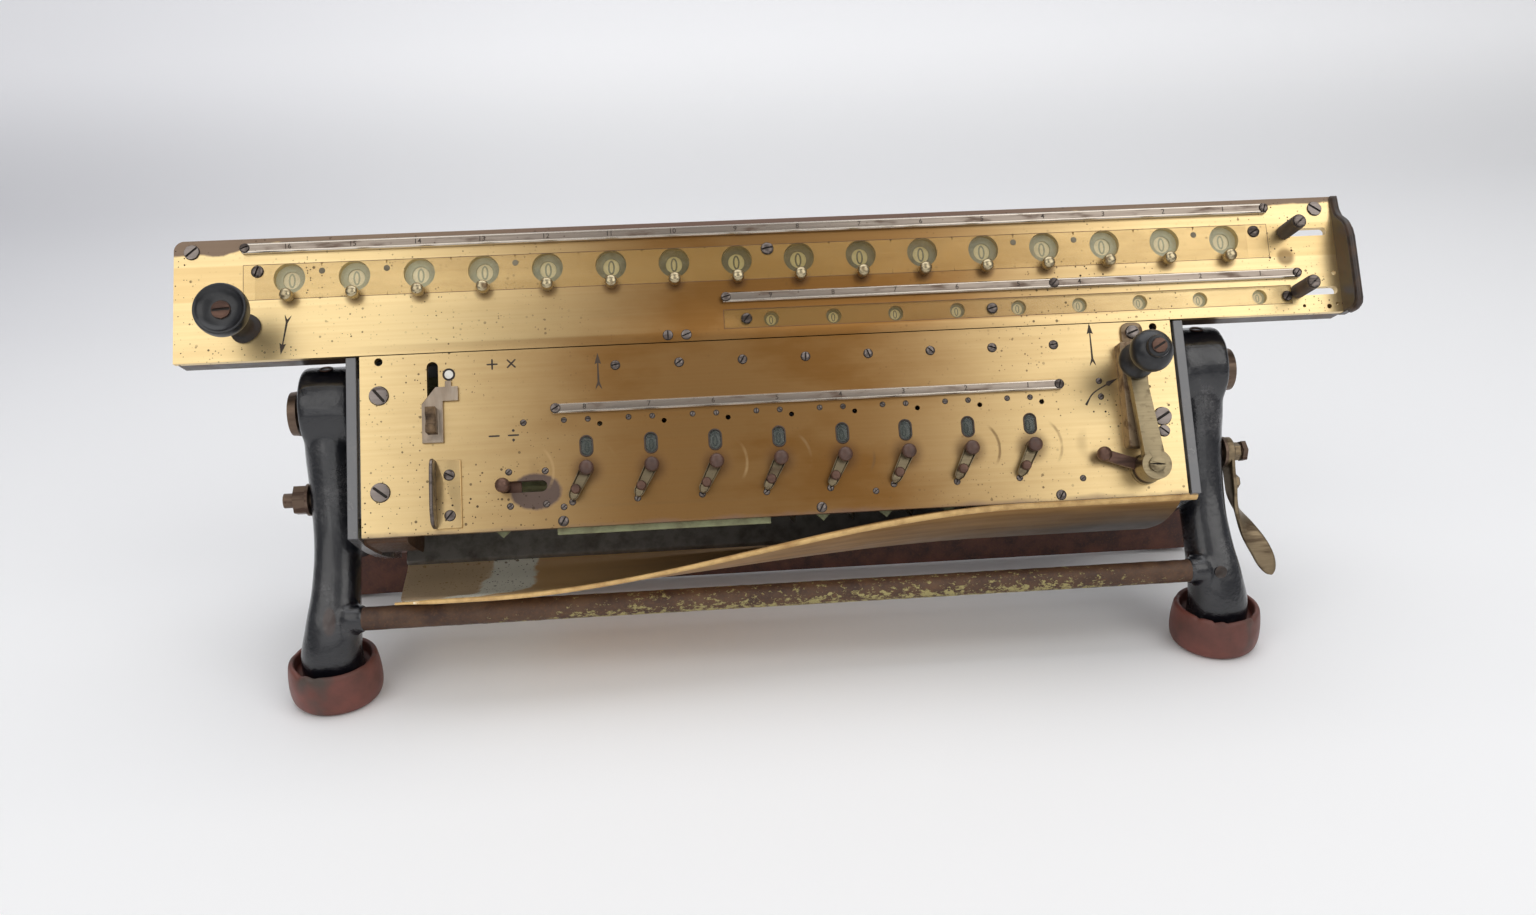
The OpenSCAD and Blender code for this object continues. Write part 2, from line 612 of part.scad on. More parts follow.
module clear_lever() {
  color([0.42, 0.34, 0.3]) on_case() translate([clear_u, -88.3, 0]) {
    translate([0, 0, -plate_t - 0.4]) cylinder(r = 2, h = 8 + plate_t);
    translate([0, 0, 7.2]) sphere(r = 2.9);
    translate([-4, -5, -plate_t - 1.8]) cube([10, 10, 1.4]);
  }
}

// carriage

module carriage_plan() {
  difference() {
    union() {
      translate([-carriage_left, car_bot]) square([carriage_left + carriage_right, carriage_len - 4]);
      translate([-carriage_left + 4, car_bot]) square([carriage_left + carriage_right - 4, carriage_len]);
      translate([-carriage_left + 4, car_top - 4]) circle(r = 4);
    }
    for (j = [0 : dials - 1]) {
      translate([dial_u(j), 0]) circle(d = result_window_d);
      translate([dial_u(j), dial_y]) circle(r = 1.5 + pin_gap, $fn = 24);
    }
    for (k = [0 : counters - 1]) translate([counter_u(k), counter_y]) circle(d = counter_window_d, $fn = 32);
    translate([0, 1.9]) slot2d(pin_a, carriage_right - 5, 3.4);
    translate([0, -23.6]) slot2d(pin_b, carriage_right - 3.4, 3.4);
    for (p = [[2.4, -16.3, 0.9], [16.6, -29.8, 0.7], [6, -30.4, 1], [2.4, -29.5, 0.7]])
      translate([carriage_right - p[0], p[1]]) circle(r = p[2], $fn = 16);
  }
}

module strip_plan(g) {
  translate([row_left - 13.3 - g, -8.4 - g]) square([row_right - row_left + 23 + 2 * g, 14.4 + 2 * g]);
  translate([-19.2 - g, counter_y - 3.55 - g]) square([count_right + 32.4 + 2 * g, 7.8 + 2 * g]);
}

module carriage_plate() {
  color([0.8, 0.66, 0.4]) on_case() {
    translate([0, 0, -plate_t]) linear_extrude(plate_t - 0.8) carriage_plan();
    translate([0, 0, -0.8]) linear_extrude(0.8) difference() {
      carriage_plan();
      strip_plan(0.05);
    }
  }
}

module window_strips() {
  color([0.85, 0.8, 0.6]) on_case() translate([0, 0, -0.8]) linear_extrude(0.7) difference() {
    strip_plan(-0.1);
    for (j = [0 : dials - 1]) translate([dial_u(j), dial_y]) circle(r = 1.9, $fn = 24);
  }
}

module carriage_frame() {
  ww = carriage_left + carriage_right;
  color([0.2, 0.17, 0.15]) on_case() difference() {
    union() {
      // front and rear rails
      translate([-carriage_left + 1, car_bot, -plate_t - rail_drop]) cube([ww - 1, 3.4, rail_drop]);
      translate([-carriage_left + 5, car_top - 4, bridge_z]) cube([ww - 5, 4, -bridge_z - plate_t]);
      // bridge that carries the lower ends of the dial spindles
      translate([-upper_wall - wall_t, -28, bridge_z])
        cube([upper_wall + lower_wall + 2 * wall_t, car_top - 4 + 28, bridge_t]);
      translate([-upper_wall - wall_t, car_bot + 3.4, bridge_z])
        cube([wall_t, carriage_len - 7.4, -bridge_z - plate_t]);
      translate([upper_wall, counter_axis + counter_r + 0.5, bridge_z])
        cube([wall_t, car_top - 4 - counter_axis - counter_r - 0.5, -bridge_z - plate_t]);
      translate([lower_wall, car_bot + 3.4, bridge_z]) cube([wall_t, 19.5, -bridge_z - plate_t]);
      // hinge lugs round the saddle tube
      for (u = lug_u) {
        bar_u(u - lug_w / 2, guide_y, guide_z, lug_r, lug_w);
        translate([u - lug_w / 2, 7, guide_z + 4]) cube([lug_w, car_top - 7, bridge_z - guide_z - 4]);
      }
      // raised guard on the right end
      across(carriage_right, guard_t) polygon([[car_bot - 0.2, -plate_t - 2], [car_bot - 0.2, guard_h - 2.6],
        [car_bot + 0.8, guard_h - 0.8], [car_bot + 3, guard_h], [-4, guard_h], [-0.5, guard_h - 0.8],
        [3, guard_h - 3], [7, 3.6], [11, 1.4], [car_top, 0.9], [car_top, -plate_t - 2]]);
    }
    for (u = lug_u) bar_u(u - lug_w / 2 - 1, guide_y, guide_z, tube_r + pin_gap, lug_w + 2);
    for (j = [0 : dials - 1]) translate([dial_u(j), dial_y, bridge_z - 1]) cylinder(r = 1.5 + pin_gap, h = 4);
    // ways for the two clearing slides
    translate([upper_wall - 1, -0.3, -9.8]) cube([wall_t + 2, 4.6, 2.9]);
    translate([lower_wall - 1, -26.3, -9.8]) cube([wall_t + 2, 4.6, 2.9]);
  }
}

module carriage_fittings() {
  color([0.5, 0.47, 0.44]) on_case() {
    scale_bar(row_left - 18.1, row_right + 18.9, 12.4);
    scale_bar(-19.4, count_right + 17.2, -15.9);
    for (u = [7 - carriage_left, carriage_right - 7.2]) screw(u, 12, 2.8, 0.8, 40);
    for (p = [[row_left - 16.7, 12.4], [row_right + 17.5, 12.4], [-18, -15.9], [count_right + 15.8, -15.9]])
      translate([0, 0, 2.2]) screw(p[0], p[1], 1.7, 0.9, 15);
    for (p = [[row_left - 12.4, 3.2], [0, 4.2], [row_right + 13, 3]]) screw(p[0], p[1], 2.2, 1.1, 70);
    for (p = [[-10, -24.6], [3.5 * pitch + 1.6, -24.9], [count_right + 11.4, -25.2]]) screw(p[0], p[1], 1.8, 0.9, 55);
    for (p = [[-42, -30.1], [-34.6, -30.2]]) screw(p[0], p[1], 1.9, 0.5, 30);
    // lift knob
    translate([row_left - 17.2, -19.5, 0]) {
      rotate_extrude() polygon([[0, 0], [6.2, 0], [5.8, 1.2], [3.6, 2.4], [3.4, 19], [5, 20.6],
        [lift_knob_d / 2 - 1.6, 22.4], [lift_knob_d / 2, 24.4], [lift_knob_d / 2, 26.6],
        [lift_knob_d / 2 - 1, 28.4], [lift_knob_d / 2 - 3, 29], [6, 27.4], [4.2, 27], [0, 27]]);
      translate([0, 0, 27]) screw(0, 0, 3.8, 0.7, 20);
    }
  }
}

module counter_dials() {
  color([0.5, 0.5, 0.42]) on_case() for (k = [0 : counters - 1]) translate([counter_u(k), counter_axis, 0]) {
    translate([0, 0, -6.6]) cylinder(r = counter_r, h = 1);
    translate([0, 0, bridge_z + bridge_t]) cylinder(r = 1.3, h = -bridge_z - bridge_t - 6.6);
    translate([0, 0, -14]) cylinder(r = 5, h = 2);
  }
}

module dial(j) {
  color([0.6, 0.58, 0.5]) on_case() translate([dial_u(j), dial_y, 0]) {
    translate([0, 0, -25]) cylinder(r = 1.5, h = 26);
    translate([0, 0, -plate_t - 1.8]) cylinder(r = dial_r, h = 1);
    difference() {
      translate([0, 0, -25]) cylinder(r = 7.4, h = 3);
      for (k = [0 : 9]) rotate(k * 36) translate([4.6, -1, -26]) cube([4, 2, 2.4]);
    }
    translate([0, 0, -12]) cylinder(r = 4.4, h = 2);
    translate([0, 0, lay_gap]) rotate_extrude() polygon([[0, 0], [2, 0], [2, 1.2], [twirl_d / 2, 1.8],
      [twirl_d / 2, 5.2], [twirl_d / 2 - 0.4, 6], [twirl_d / 2 - 1.2, 6.5], [0, 6.7]]);
  }
}

// clearing post with its long slide under the plate
module clear_pin(u, y, left, ry) {
  translate([u, y, 0]) {
    translate([0, 0, lay_gap]) cylinder(r = 2.9, h = 14.4);
    translate([0, 0, -7.3]) cylinder(r = 1.5, h = 8);
    translate([0, 0, 14.7]) difference() {
      cylinder(r = 2.2, h = 0.8);
      translate([-3, -0.3, 0.3]) cube([6, 0.6, 1]);
    }
  }
  translate([left, ry, -9.3]) cube([u - left + 2.2, 2.8, 2]);
}

module clear_pin_upper() {
  color([0.2, 0.16, 0.12]) on_case() clear_pin(pin_a, 1.9, row_left - 5.5, 0.5);
}

module clear_pin_lower() {
  color([0.2, 0.16, 0.12]) on_case() clear_pin(pin_b, -23.6, -6, -25.4);
}

module saddle() {
  color([0.45, 0.42, 0.38]) on_case() difference() {
    union() {
      bar_u(-84, guide_y, guide_z, tube_r, 118);
      bar_u(lug_u[0] - lug_w / 2 - 3.3, guide_y, guide_z, 8.6, 3);
      bar_u(lug_u[1] + lug_w / 2 + 0.3, guide_y, guide_z, 8.6, 3);
    }
    bar_u(-90, guide_y, guide_z, guide_r + pin_gap, 140);
  }
}

module drum_1() {
  drum(0);
}

module drum_2() {
  drum(1);
}

module drum_3() {
  drum(2);
}

module drum_4() {
  drum(3);
}

module drum_5() {
  drum(4);
}

module drum_6() {
  drum(5);
}

module drum_7() {
  drum(6);
}

module drum_8() {
  drum(7);
}

module setting_1() {
  setting(0);
}

module setting_2() {
  setting(1);
}

module setting_3() {
  setting(2);
}

module setting_4() {
  setting(3);
}

module setting_5() {
  setting(4);
}

module setting_6() {
  setting(5);
}

module setting_7() {
  setting(6);
}

module setting_8() {
  setting(7);
}

module dial_1() {
  dial(0);
}

module dial_2() {
  dial(1);
}

module dial_3() {
  dial(2);
}

module dial_4() {
  dial(3);
}

module dial_5() {
  dial(4);
}

module dial_6() {
  dial(5);
}

module dial_7() {
  dial(6);
}

module dial_8() {
  dial(7);
}

module dial_9() {
  dial(8);
}

module dial_10() {
  dial(9);
}

module dial_11() {
  dial(10);
}

module dial_12() {
  dial(11);
}

module dial_13() {
  dial(12);
}

module dial_14() {
  dial(13);
}

module dial_15() {
  dial(14);
}

module dial_16() {
  dial(15);
}

stand_castings();
front_rod();
rear_bar();
rubber_feet();
stand_fixings();
clamp_lever();
face_plate();
end_plates();
back_cover();
belly_cover();
bearing_rails();
guide_rod();
face_fittings();
square_shafts();
main_shaft();
drum_1();
drum_2();
drum_3();
drum_4();
drum_5();
drum_6();
drum_7();
drum_8();
setting_1();
setting_2();
setting_3();
setting_4();
setting_5();
setting_6();
setting_7();
setting_8();
crank();
crank_knob();
stop_lever();
reversing_slider();
clear_lever();
saddle();
carriage_plate();
carriage_frame();
carriage_fittings();
window_strips();
counter_dials();
clear_pin_upper();
clear_pin_lower();
dial_1();
dial_2();
dial_3();
dial_4();
dial_5();
dial_6();
dial_7();
dial_8();
dial_9();
dial_10();
dial_11();
dial_12();
dial_13();
dial_14();
dial_15();
dial_16();
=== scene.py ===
# %% [markdown]
# # A stepped drum calculating machine in its iron stand
# The packed model already holds every part of the machine, in metres, where it belongs.
# This lesson gives those parts their finishes, models the pieces whose surfaces a plain solid
# can't show (cast legs, knobs, figures, the sprung sheet), and sets up the camera and the lamps.

# %% Load the packed model
import math

import bmesh
import bpy
import numpy as np
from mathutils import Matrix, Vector


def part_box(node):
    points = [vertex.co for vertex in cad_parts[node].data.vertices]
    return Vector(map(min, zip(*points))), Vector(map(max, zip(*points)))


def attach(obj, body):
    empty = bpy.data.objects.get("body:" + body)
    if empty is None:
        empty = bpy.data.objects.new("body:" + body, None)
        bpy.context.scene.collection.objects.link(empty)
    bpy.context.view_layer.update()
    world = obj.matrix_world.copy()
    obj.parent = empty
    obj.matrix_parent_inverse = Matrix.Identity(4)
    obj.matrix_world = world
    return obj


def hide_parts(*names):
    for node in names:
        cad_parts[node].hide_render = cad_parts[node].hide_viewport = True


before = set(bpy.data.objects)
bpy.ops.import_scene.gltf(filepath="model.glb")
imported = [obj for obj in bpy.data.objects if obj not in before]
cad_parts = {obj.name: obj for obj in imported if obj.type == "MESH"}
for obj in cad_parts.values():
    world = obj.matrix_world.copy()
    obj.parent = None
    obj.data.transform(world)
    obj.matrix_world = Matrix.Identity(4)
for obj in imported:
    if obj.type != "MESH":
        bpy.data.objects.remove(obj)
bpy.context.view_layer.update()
MM = 0.001
print("packed nodes:", len(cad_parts))


def span(node):
    """Lowest and highest corner of a packed node, in mm."""
    return [np.array(corner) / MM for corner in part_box(node)]


# %% [markdown]
# ## The plate frame
# The brass face leans back, and nearly everything is screwed to it. So the places below are
# written in the face's own millimetres: u runs along the dials, v up the face, w out of it.
# One function turns such rows of numbers into world metres.

# %% From the face to the world
LEAN = math.radians(32)
AXIS_H = 107.0
TRUNNION_V, TRUNNION_W = -50.0, -24.0
PITCH = 25.4
ROD_Y, ROD_Z = -46.0, 35.0
rod_low, rod_high = span("front_rod")
FOOT = np.array([(rod_low[0] + rod_high[0]) / 2, (rod_low[1] + rod_high[1]) / 2 - ROD_Y, 0.0])
ALONG = np.array([1.0, 0.0, 0.0])
UP = np.array([0.0, math.sin(LEAN), math.cos(LEAN)])
OUT = np.array([0.0, -math.cos(LEAN), math.sin(LEAN)])


def on_floor(points):
    """Rows of (x, y, z) in mm from the floor below the trunnion's middle become world metres."""
    return (np.asarray(points, float) + FOOT) * MM


def on_face(points):
    """Rows of (u, v, w) in mm on the face become world metres: pivot + u*ALONG + v*UP + w*OUT."""
    p = np.asarray(points, float) - [0.0, TRUNNION_V, TRUNNION_W]
    return on_floor(p[..., 0:1] * ALONG + p[..., 1:2] * UP + p[..., 2:3] * OUT + [0.0, 0.0, AXIS_H])


def dial_u(j):
    """Where result dial j, counted from 0 at the left, stands along the face."""
    return (j - 7.5) * PITCH


def drum_u(i):
    """Where setting column i, counted from 0 at the left, stands along the face."""
    return (i - 3) * PITCH


print("face origin in the world:", on_face([[0, 0, 0]]).round(4).tolist())

# %% [markdown]
# ## Camera
# The camera stands a little left of the middle and looks down at the machine. Its place, its
# angles and its focal length were fitted to the picture that the model follows. The focal length
# is counted in the picture's points, so the lens is its share of the picture's width.

# %% Camera
FOCAL, PICTURE_WIDTH, SENSOR = 1300, 1536, 36
camera = bpy.data.objects.new("camera", bpy.data.cameras.new("camera"))
bpy.context.scene.collection.objects.link(camera)
camera.location = on_floor([-39.14, -510.23, 295.21])
camera.rotation_euler = [math.radians(a) for a in (66.881, 1.214, -4.658)]
camera.data.sensor_width = SENSOR
camera.data.lens = SENSOR * FOCAL / PICTURE_WIDTH
bpy.context.scene.camera = camera
print("lens:", round(camera.data.lens, 2), "mm")

# %% [markdown]
# ## Meshes from arrays
# A curved surface is a grid of points with a quad between every four neighbours. One helper
# numbers the quads. The other makes an object of points and faces: it welds points that fall
# together, turns the faces outward and shades them softly up to an angle in degrees.


# %% A mesh from arrays
def grid_faces(rows, columns, close_rows=False, close_columns=False):
    """Quads of a rows by columns grid of points; a closed direction joins its last line to its first."""
    r = np.arange(rows if close_rows else rows - 1)
    c = np.arange(columns if close_columns else columns - 1)
    r, c = (a.ravel() for a in np.meshgrid(r, c, indexing="ij"))
    r2, c2 = (r + 1) % rows, (c + 1) % columns
    return np.stack([r * columns + c, r * columns + c2, r2 * columns + c2, r2 * columns + c], 1)


def make_mesh(name, points, faces, smooth=40):
    """A mesh object of points in metres and faces, welded, with outward faces and soft shading."""
    mesh = bpy.data.meshes.new(name)
    mesh.from_pydata(np.asarray(points).reshape(-1, 3).tolist(), [], [list(face) for face in faces])
    bm = bmesh.new()
    bm.from_mesh(mesh)
    bmesh.ops.remove_doubles(bm, verts=bm.verts, dist=1e-6)
    bmesh.ops.dissolve_degenerate(bm, edges=bm.edges, dist=1e-7)
    bmesh.ops.recalc_face_normals(bm, faces=bm.faces)
    bm.to_mesh(mesh)
    bm.free()
    mesh.polygons.foreach_set("use_smooth", np.ones(len(mesh.polygons), bool))
    mesh.set_sharp_from_angle(angle=math.radians(smooth))
    made = bpy.data.objects.new(name, mesh)
    bpy.context.scene.collection.objects.link(made)
    print(f"{name}: {len(mesh.vertices)} points, {len(mesh.polygons)} faces")
    return made


# %% [markdown]
# ## Floor and backdrop
# The machine stands on white paper. The paper runs flat to the back, bends up in a quarter circle
# and goes on as the wall, so no horizon shows. One side line is repeated across the width.


# %% Floor and backdrop
def floor_profile(count=60):
    """Side line in metres: flat from front to back, a quarter circle of radius bend, then up to top."""
    front, back, bend, top = -3.0, 0.9, 0.5, 3.2
    t = np.linspace(0, math.pi / 2, count)
    y = np.concatenate([[front], back + bend * np.sin(t), [back + bend]])
    z = np.concatenate([[0.0], bend - bend * np.cos(t), [top]])
    return y, z


floor_y, floor_z = floor_profile()
floor_x = np.linspace(-3.5, 3.5, 5)
floor_points = np.stack([np.repeat(floor_x[:, None], len(floor_y), 1),
                         np.repeat(floor_y[None], len(floor_x), 0),
                         np.repeat(floor_z[None], len(floor_x), 0)], -1)
floor = make_mesh("floor", floor_points, grid_faces(len(floor_x), len(floor_y)), smooth=80)

# %% [markdown]
# ## Lamps
# Four soft boxes light the machine. Two large ones stand in front at the left and the right: the
# brass mirrors them at its two ends and stays brown between. A low wide one fills the shadows of
# the front, and one overhead lights the upper edges. A pale world gives the rest.


# %% Lamps
def lamp(name, place, aim, width, height, watts, tint=(1, 1, 1)):
    """A soft box: a rectangle of light at place, turned to face the point aim."""
    data = bpy.data.lights.new(name, "AREA")
    data.shape, data.size, data.size_y = "RECTANGLE", width, height
    data.energy, data.color = watts, tint
    made = bpy.data.objects.new(name, data)
    bpy.context.scene.collection.objects.link(made)
    made.location = place
    made.rotation_euler = (Vector(aim) - Vector(place)).to_track_quat("-Z", "Y").to_euler()


MACHINE = (0.0, 0.0, 0.12)
WARM, COOL = (1.0, 0.985, 0.96), (0.97, 0.98, 1.0)
lamp("left box", (-0.72, -0.80, 1.02), MACHINE, 0.98, 1.1, 4.4, WARM)
lamp("right box", (0.74, -0.78, 1.05), MACHINE, 0.98, 1.1, 5.6, WARM)
lamp("front fill", (-0.12, -1.3, 0.40), (0, 0, 0.05), 1.3, 0.5, 2.0)
lamp("top box", (0.0, 0.35, 1.5), MACHINE, 2.0, 1.2, 12, COOL)

world = bpy.data.worlds.new("studio")
bpy.context.scene.world = world
world.use_nodes = True
background = world.node_tree.nodes["Background"].inputs
background["Color"].default_value = (0.9, 0.91, 0.94, 1)
background["Strength"].default_value = 0.34
bpy.context.scene.view_settings.view_transform = "Standard"

# %% [markdown]
# ## Finishes
# A finish is a node tree that reads Object coordinates, so it stays on its part when the part
# moves. The helper below adds nodes one line at a time. Patterns that follow the face first turn
# the coordinates into u, v, w, which is a Mapping node with a rotation about X. Masks are numbers
# from 0 to 1 and are put together by plain sums, products and the larger of two.


# %% Nodes of a material
def srgb(*levels):
    """A colour as the eye reads it, 0 to 255, in the linear numbers that Blender wants."""
    c = np.array(levels) / 255.0
    linear = np.where(c <= 0.04045, c / 12.92, ((c + 0.055) / 1.055) ** 2.4)
    return tuple(float(x) for x in linear)


class Nodes:
    """One material. The methods add nodes and give back the socket to use next."""

    def __init__(self, name, **shader):
        """Starts a material of that name; the other words set inputs of its shader."""
        self.material = bpy.data.materials.new(name)
        self.material.use_nodes = True
        self.nodes = self.material.node_tree.nodes
        self.links = self.material.node_tree.links
        self.shader = self.nodes["Principled BSDF"]
        for key, value in shader.items():
            self.shader.inputs[key.replace("_", " ")].default_value = value
        self.here = self.add("ShaderNodeTexCoord").outputs["Object"]

    def add(self, kind, inputs=None, **settings):
        """A node of that kind with its settings made and its inputs set or linked."""
        node = self.nodes.new(kind)
        for key, value in settings.items():
            setattr(node, key, value)
        for key, value in (inputs or {}).items():
            if isinstance(value, bpy.types.NodeSocket):
                self.links.new(value, node.inputs[key])
            else:
                node.inputs[key].default_value = value
        return node

    def set(self, **sockets):
        """Links sockets to the shader's inputs."""
        for key, value in sockets.items():
            self.links.new(value, self.shader.inputs[key.replace("_", " ")])
        return self.material

    def axis(self, vector, name):
        """One of X, Y or Z of a vector."""
        return self.add("ShaderNodeSeparateXYZ", {0: vector}).outputs[name]

    def mapped(self, scale=(1, 1, 1), shift=(0, 0, 0), turn=(0, 0, 0), vector=None):
        """Coordinates scaled, turned in degrees, then shifted."""
        inputs = {"Vector": vector or self.here, "Scale": scale, "Location": shift,
                  "Rotation": [math.radians(a) for a in turn]}
        return self.add("ShaderNodeMapping", inputs).outputs["Vector"]

    def face(self):
        """Coordinates (u, v, w) on the brass face, in metres."""
        origin = on_face([[0, 0, 0]])[0]
        shift = tuple(-float(origin @ way) for way in (ALONG, UP, OUT))
        return self.mapped(turn=(math.degrees(LEAN) - 90, 0, 0), shift=shift)


print("a colour in linear numbers:", srgb(128, 128, 128))

# %% [markdown]
# ## Sums, ranges and mixing
# A mask or a height is a number at every place of the surface. Sums and products combine such
# numbers, a range carries one span of values to another, and a mix lays one colour over another
# as far as a mask says.


# %% Sums, ranges and mixing
class Sums(Nodes):
    """Adds arithmetic to the nodes of a material."""

    def calc(self, operation, a, b=0.0, c=0.0, clamp=False):
        """One step of arithmetic."""
        node = self.add("ShaderNodeMath", {0: a, 1: b, 2: c}, operation=operation)
        node.use_clamp = clamp
        return node.outputs[0]

    def plus(self, a, b, clamp=False):
        """a + b, held within 0 and 1 when clamp is set."""
        return self.calc("ADD", a, b, clamp=clamp)

    def minus(self, a, b):
        """a - b."""
        return self.calc("SUBTRACT", a, b)

    def times(self, a, b):
        """a times b: a mask kept only where the other is 1."""
        return self.calc("MULTIPLY", a, b)

    def most(self, a, b):
        """The larger of a and b: a mask laid over another."""
        return self.calc("MAXIMUM", a, b)

    def off(self, value, middle):
        """How far value is from middle: the size of value - middle."""
        return self.calc("ABSOLUTE", self.minus(value, middle))

    def distance(self, a, b):
        """Length of a step a one way and b across it: the root of a^2 + b^2."""
        return self.calc("SQRT", self.plus(self.calc("POWER", a, 2), self.calc("POWER", b, 2)))

    def remap(self, value, low, high, to_low=0.0, to_high=1.0, smooth=False):
        """value from low..high to to_low..to_high, held at the ends."""
        inputs = {"Value": value, "From Min": low, "From Max": high, "To Min": to_low, "To Max": to_high}
        node = self.add("ShaderNodeMapRange", inputs, clamp=True)
        node.interpolation_type = "SMOOTHSTEP" if smooth else "LINEAR"
        return node.outputs["Result"]

    def mix(self, factor, a, b, blend="MIX"):
        """Colour a where factor is 0, b where it is 1."""
        node = self.add("ShaderNodeMix", data_type="RGBA", blend_type=blend)
        for key, value in (("Factor", factor), ("A", a), ("B", b)):
            target = [s for s in node.inputs if s.name == key and s.enabled][0]
            if isinstance(value, bpy.types.NodeSocket):
                self.links.new(value, target)
            else:
                target.default_value = value if key == "Factor" else (*value, 1)
        return [s for s in node.outputs if s.enabled][0]


print("arithmetic:", [way for way in vars(Sums) if not way.startswith("_")])

# %% [markdown]
# ## Noise, dots and relief
# Age shows as clouds, dots and spots. Clouds are noise at a scale, dots stand in scattered cells,
# and a spot is all that lies near one point. A height is shown as relief, so that light catches
# it, with its depth in metres.


# %% Noise, dots and relief
class Finish(Sums):
    """Adds patterns to the arithmetic, so that one object can build a whole finish."""

    def noise(self, vector, scale, detail=4.0, rough=0.55):
        """Cloudy noise from 0 to 1; scale counts features in a metre."""
        inputs = {"Vector": vector, "Scale": scale, "Detail": detail, "Roughness": rough}
        return self.add("ShaderNodeTexNoise", inputs).outputs["Fac"]

    def cells(self, vector, scale, output="Distance"):
        """Distance to, or a random colour of, the nearest of many scattered points."""
        inputs = {"Vector": vector, "Scale": scale}
        return self.add("ShaderNodeTexVoronoi", inputs).outputs[output]

    def specks(self, vector, scale, size, share, seed=0.0):
        """Mask of scattered dots: size is the dot's radius and share how many cells have one."""
        spot = self.mapped(shift=(seed, seed * 1.7, 0), vector=vector)
        near = self.cells(spot, scale)
        pick = self.axis(self.cells(spot, scale, "Color"), "X")
        wide = self.remap(pick, 1 - share, 1, 0, size * scale)
        return self.calc("LESS_THAN", near, wide)

    def spot(self, vector, centre, radius, edge):
        """Mask of one round spot on the face: 1 inside the radius, gone at radius + edge."""
        away = self.add("ShaderNodeVectorMath", {0: vector, 1: centre}, operation="DISTANCE")
        return self.remap(away.outputs["Value"], radius, radius + edge, 1, 0, smooth=True)

    def bump(self, height, distance, strength=1.0):
        """Relief: height 0 to 1 stands for distance metres."""
        inputs = {"Height": height, "Distance": distance, "Strength": strength}
        return self.add("ShaderNodeBump", inputs).outputs["Normal"]


print("patterns:", [way for way in vars(Finish) if not way.startswith("_")])

# %% [markdown]
# ## Paper of the floor
# The paper is white in front. Painted shade makes it greyer where it bends up, painted light makes
# it lighter again high on the wall, and painted shade darkens it at the far left. Above the floor it
# also gives off some light. Only the camera and mirrored or transmitted rays see that light, so it
# falls on no dull surface.

# %% Floor finish
PAPER_NEAR, PAPER_BEND_SHADE = (0.91, 0.91, 0.915), (0.80, 0.80, 0.82)
PAPER_HIGH_LIT, PAPER_SHADE = (0.97, 0.97, 0.98), (0.70, 0.70, 0.73)
paper = Finish("studio paper", Roughness=0.9)
height = paper.axis(paper.here, "Z")
# Painted shade at the bend, painted light high on the wall and painted shade at the far left.
colour = paper.mix(paper.remap(height, 0.0, 0.25, smooth=True), PAPER_NEAR, PAPER_BEND_SHADE)
colour = paper.mix(paper.remap(height, 0.35, 1.2, smooth=True), colour, PAPER_HIGH_LIT)
shade = paper.remap(paper.axis(paper.here, "X"), -0.9, -0.1, 0.8, 0, smooth=True)
shade = paper.times(shade, paper.remap(paper.axis(paper.here, "Y"), 0.0, 0.5))
colour = paper.mix(shade, colour, PAPER_SHADE)
rays = paper.add("ShaderNodeLightPath").outputs
mirrored = paper.plus(rays["Is Glossy Ray"], rays["Is Transmission Ray"], clamp=True)
seen = paper.plus(rays["Is Camera Ray"], mirrored, clamp=True)
glow = paper.times(seen, paper.remap(height, 0.0, 0.14, 0, 0.2, smooth=True))
floor.data.materials.append(paper.set(Base_Color=colour, Emission_Strength=glow))
print("the paper has", len(paper.nodes), "nodes")

# %% [markdown]
# ## Brushed brass
# The face was brushed along its length and lacquered. The lacquer went brown, and small dark pits
# came through. The brown of the middle is partly that lacquer and partly painted shade, for the dark
# middle between the mirrored lamps. Each kind of wear or painted shade is a mask of its own, made by
# a short function, so that it can be looked at and changed alone. Lengths here are in metres.


# %% Browned and shaded middle, and shade round the bases
def browned_middle(f, u, v, cloud):
    """Mask of lacquer gone brown and painted shade: 0.93 within 35 mm of the middle, 0 beyond 175 mm, plus up
    to a fifth from the clouds.
    """
    centre = f.minus(u, f.remap(v, -0.0295, -0.0285, -0.012, 0.012))
    middle = f.remap(f.calc("ABSOLUTE", centre), 0.035, 0.175, 1, 0, smooth=True)
    return f.plus(f.times(middle, 0.93), f.remap(cloud, 0.45, 0.75, 0, 0.2), clamp=True)


def from_stud(f, u, v, first, stud_v):
    """Distance to the nearest of a row of studs, one pitch apart from first, all at height stud_v."""
    column = f.calc("PINGPONG", f.minus(u, first * MM), PITCH / 2 * MM)
    return f.distance(column, f.minus(v, stud_v))


def fingered(f, away, in_row, knob_away):
    """Mask of the dark rounds round the setting cranks and the twirl knobs: painted shade and dirt at their
    bases.
    """
    cranks = f.times(f.remap(away, 0.003, 0.0085, 0.55, 0, smooth=True), in_row)
    return f.most(cranks, f.remap(knob_away, 0.0022, 0.0048, 0.6, 0, smooth=True))


print("first setting stud at u", drum_u(0), "and first twirl knob at u", dial_u(0))

# %% [markdown]
# ## Tarnish and scratched arcs
# Both long edges of the face went grey, with a ragged border, and so did an oval patch at the
# clearing slot. The tips of some setting cranks scratched thin arcs, on their right side only.
# An arc is the place where the distance to the stud is that of the tip.


